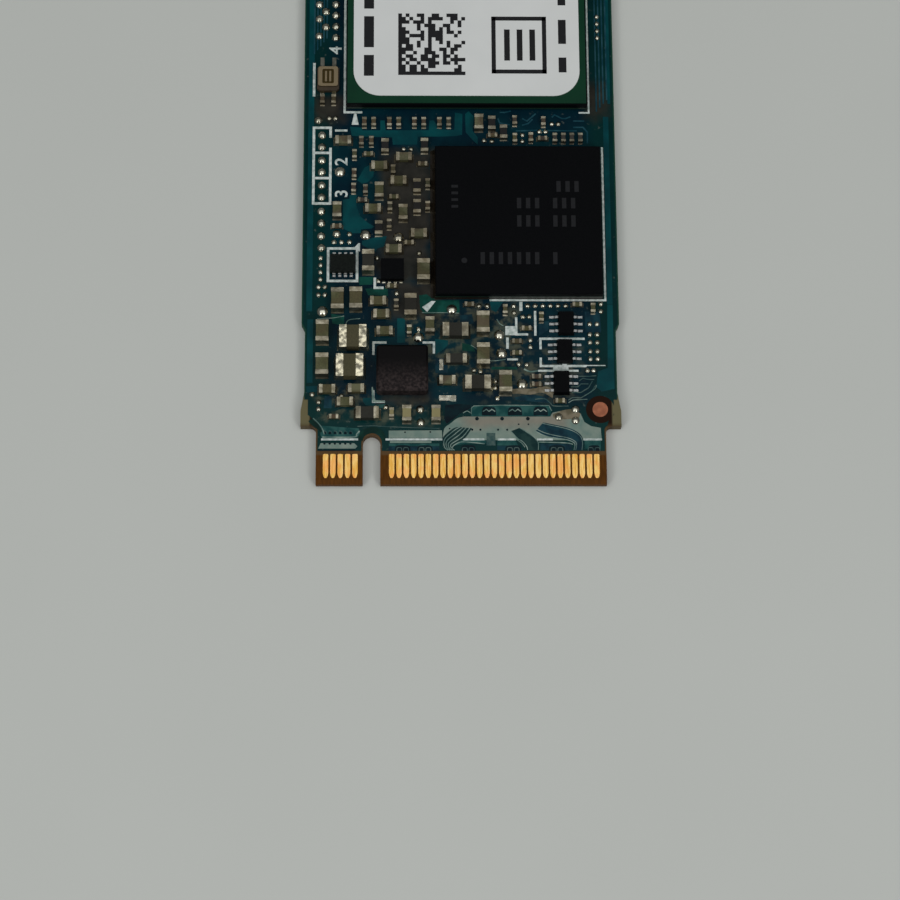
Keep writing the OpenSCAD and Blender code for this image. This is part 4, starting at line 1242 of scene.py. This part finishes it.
# %% Controller marks
etch = Finish("laser_mark", roughness=0.6, specular=0.2)
etch.colour(etch.mix(etch.noise(6.0), tone(15, 16, 18), tone(30, 31, 34)))
controller_lift = height_of("controller_mould")
dash_width, dash_pitch = 0.3, 0.63
mark_rows = [
    (20.9, 0.8, 6.75, (0, 1, 2)),
    (19.66, 0.78, 3.97, (0, 1, 2, 4, 5, 6)),
    (18.3, 0.84, 3.97, (0, 1, 2, 4, 5, 6)),
    (15.52, 0.88, 1.4, (0, 1, 2, 3, 4, 5, 6, 8)),
]
dashes = [disc(0.27, 15.79, 0.2)]
for y, length, start, columns in mark_rows:
    for column in columns:
        x = start + dash_pitch * column
        dashes.append(rectangle((x, x + dash_width), (y, y + length)))
for i in range(4):
    dashes.append(rectangle((-0.6, -0.14), (19.7 + 0.5 * i, 19.9 + 0.5 * i)))
slab("controller_marks", dashes, controller_lift, 0.004, etch)

# %% [markdown]
# ## Floor
# The card lies on a plain pale floor. A real surface with a pattern of its own would draw the eye
# from the card, so the floor is one large square, hardly clouded. It is no part of the drive, so it
# is not attached to the drive's body.

# %% Floor
floor_reach = 2.0
floor_mesh = bpy.data.meshes.new("floor")
corners = [(-1, -1), (1, -1), (1, 1), (-1, 1)]
floor_corners = [(x * floor_reach, y * floor_reach, 0) for x, y in corners]
floor_mesh.from_pydata(floor_corners, [], [(0, 1, 2, 3)])
floor = bpy.data.objects.new("floor", floor_mesh)
floor_finish = Finish("floor", roughness=0.9, specular=0.1)
drift = floor_finish.noise(0.05)
floor_finish.colour(floor_finish.mix(drift, tone(196, 199, 194), tone(200, 203, 198)))
floor_mesh.materials.append(floor_finish.material)
bpy.context.scene.collection.objects.link(floor)
print("floor reach in m:", floor_reach)

# %% [markdown]
# ## Lamps
# A flat face mirrors only what stands opposite the camera. One wide lamp would therefore turn the
# black packages grey. So the soft box overhead ends where its mirror image ends on the card, just
# behind the contacts: the gold and the copper by the edge shine, and the packages stay black. Two
# smaller boxes in front, well apart, put the pair of bright spots on every dome of solder.


# %% Lamps
def soft_lamp(name, at, aim, size, brightness):
    """A soft box that looks at a point. Its brightness is what a perfect mirror would show."""
    data = bpy.data.lights.new(name, "AREA")
    data.shape = "RECTANGLE"
    data.size, data.size_y = size
    data.energy = brightness * math.pi * size[0] * size[1]
    lamp = bpy.data.objects.new(name, data)
    lamp.location = at
    lamp.rotation_euler = (Vector(aim) - Vector(at)).to_track_quat("-Z", "Y").to_euler()
    bpy.context.scene.collection.objects.link(lamp)
    return lamp


lamp_height = 0.5
overhead_depth = 0.5
mirror_end = place(0, 6.0)
mirror_slope = (mirror_end.y - camera_at.y) / (camera_at.z - mirror_end.z)
overhead_y = mirror_end.y + mirror_slope * lamp_height - overhead_depth / 2
overhead_at, below_it = (0, overhead_y, lamp_height), (0, overhead_y, 0)
soft_lamp("overhead", overhead_at, below_it, (0.9, overhead_depth), 1.16)
for name, x in (("front_left", -0.36), ("front_right", 0.30)):
    soft_lamp(name, (x, -0.46, 0.42), (0, -0.02, 0), (0.14, 0.22), 8.1)
print("overhead lamp at y in mm:", round(overhead_y / MM, 1))

# %% [markdown]
# ## Sky
# A dim, even sky fills the shadows. A brighter one would flatten them, and a picture of a room
# would put its own colours into the metal.

# %% Sky
world = bpy.data.worlds.new("sky")
world.use_nodes = True
bpy.context.scene.world = world
sky = world.node_tree.nodes["Background"]
sky.inputs["Color"].default_value = (0.95, 0.98, 1.0, 1.0)
sky.inputs["Strength"].default_value = 0.15
bpy.context.scene.view_settings.view_transform = "Standard"
print("sky strength:", sky.inputs["Strength"].default_value)
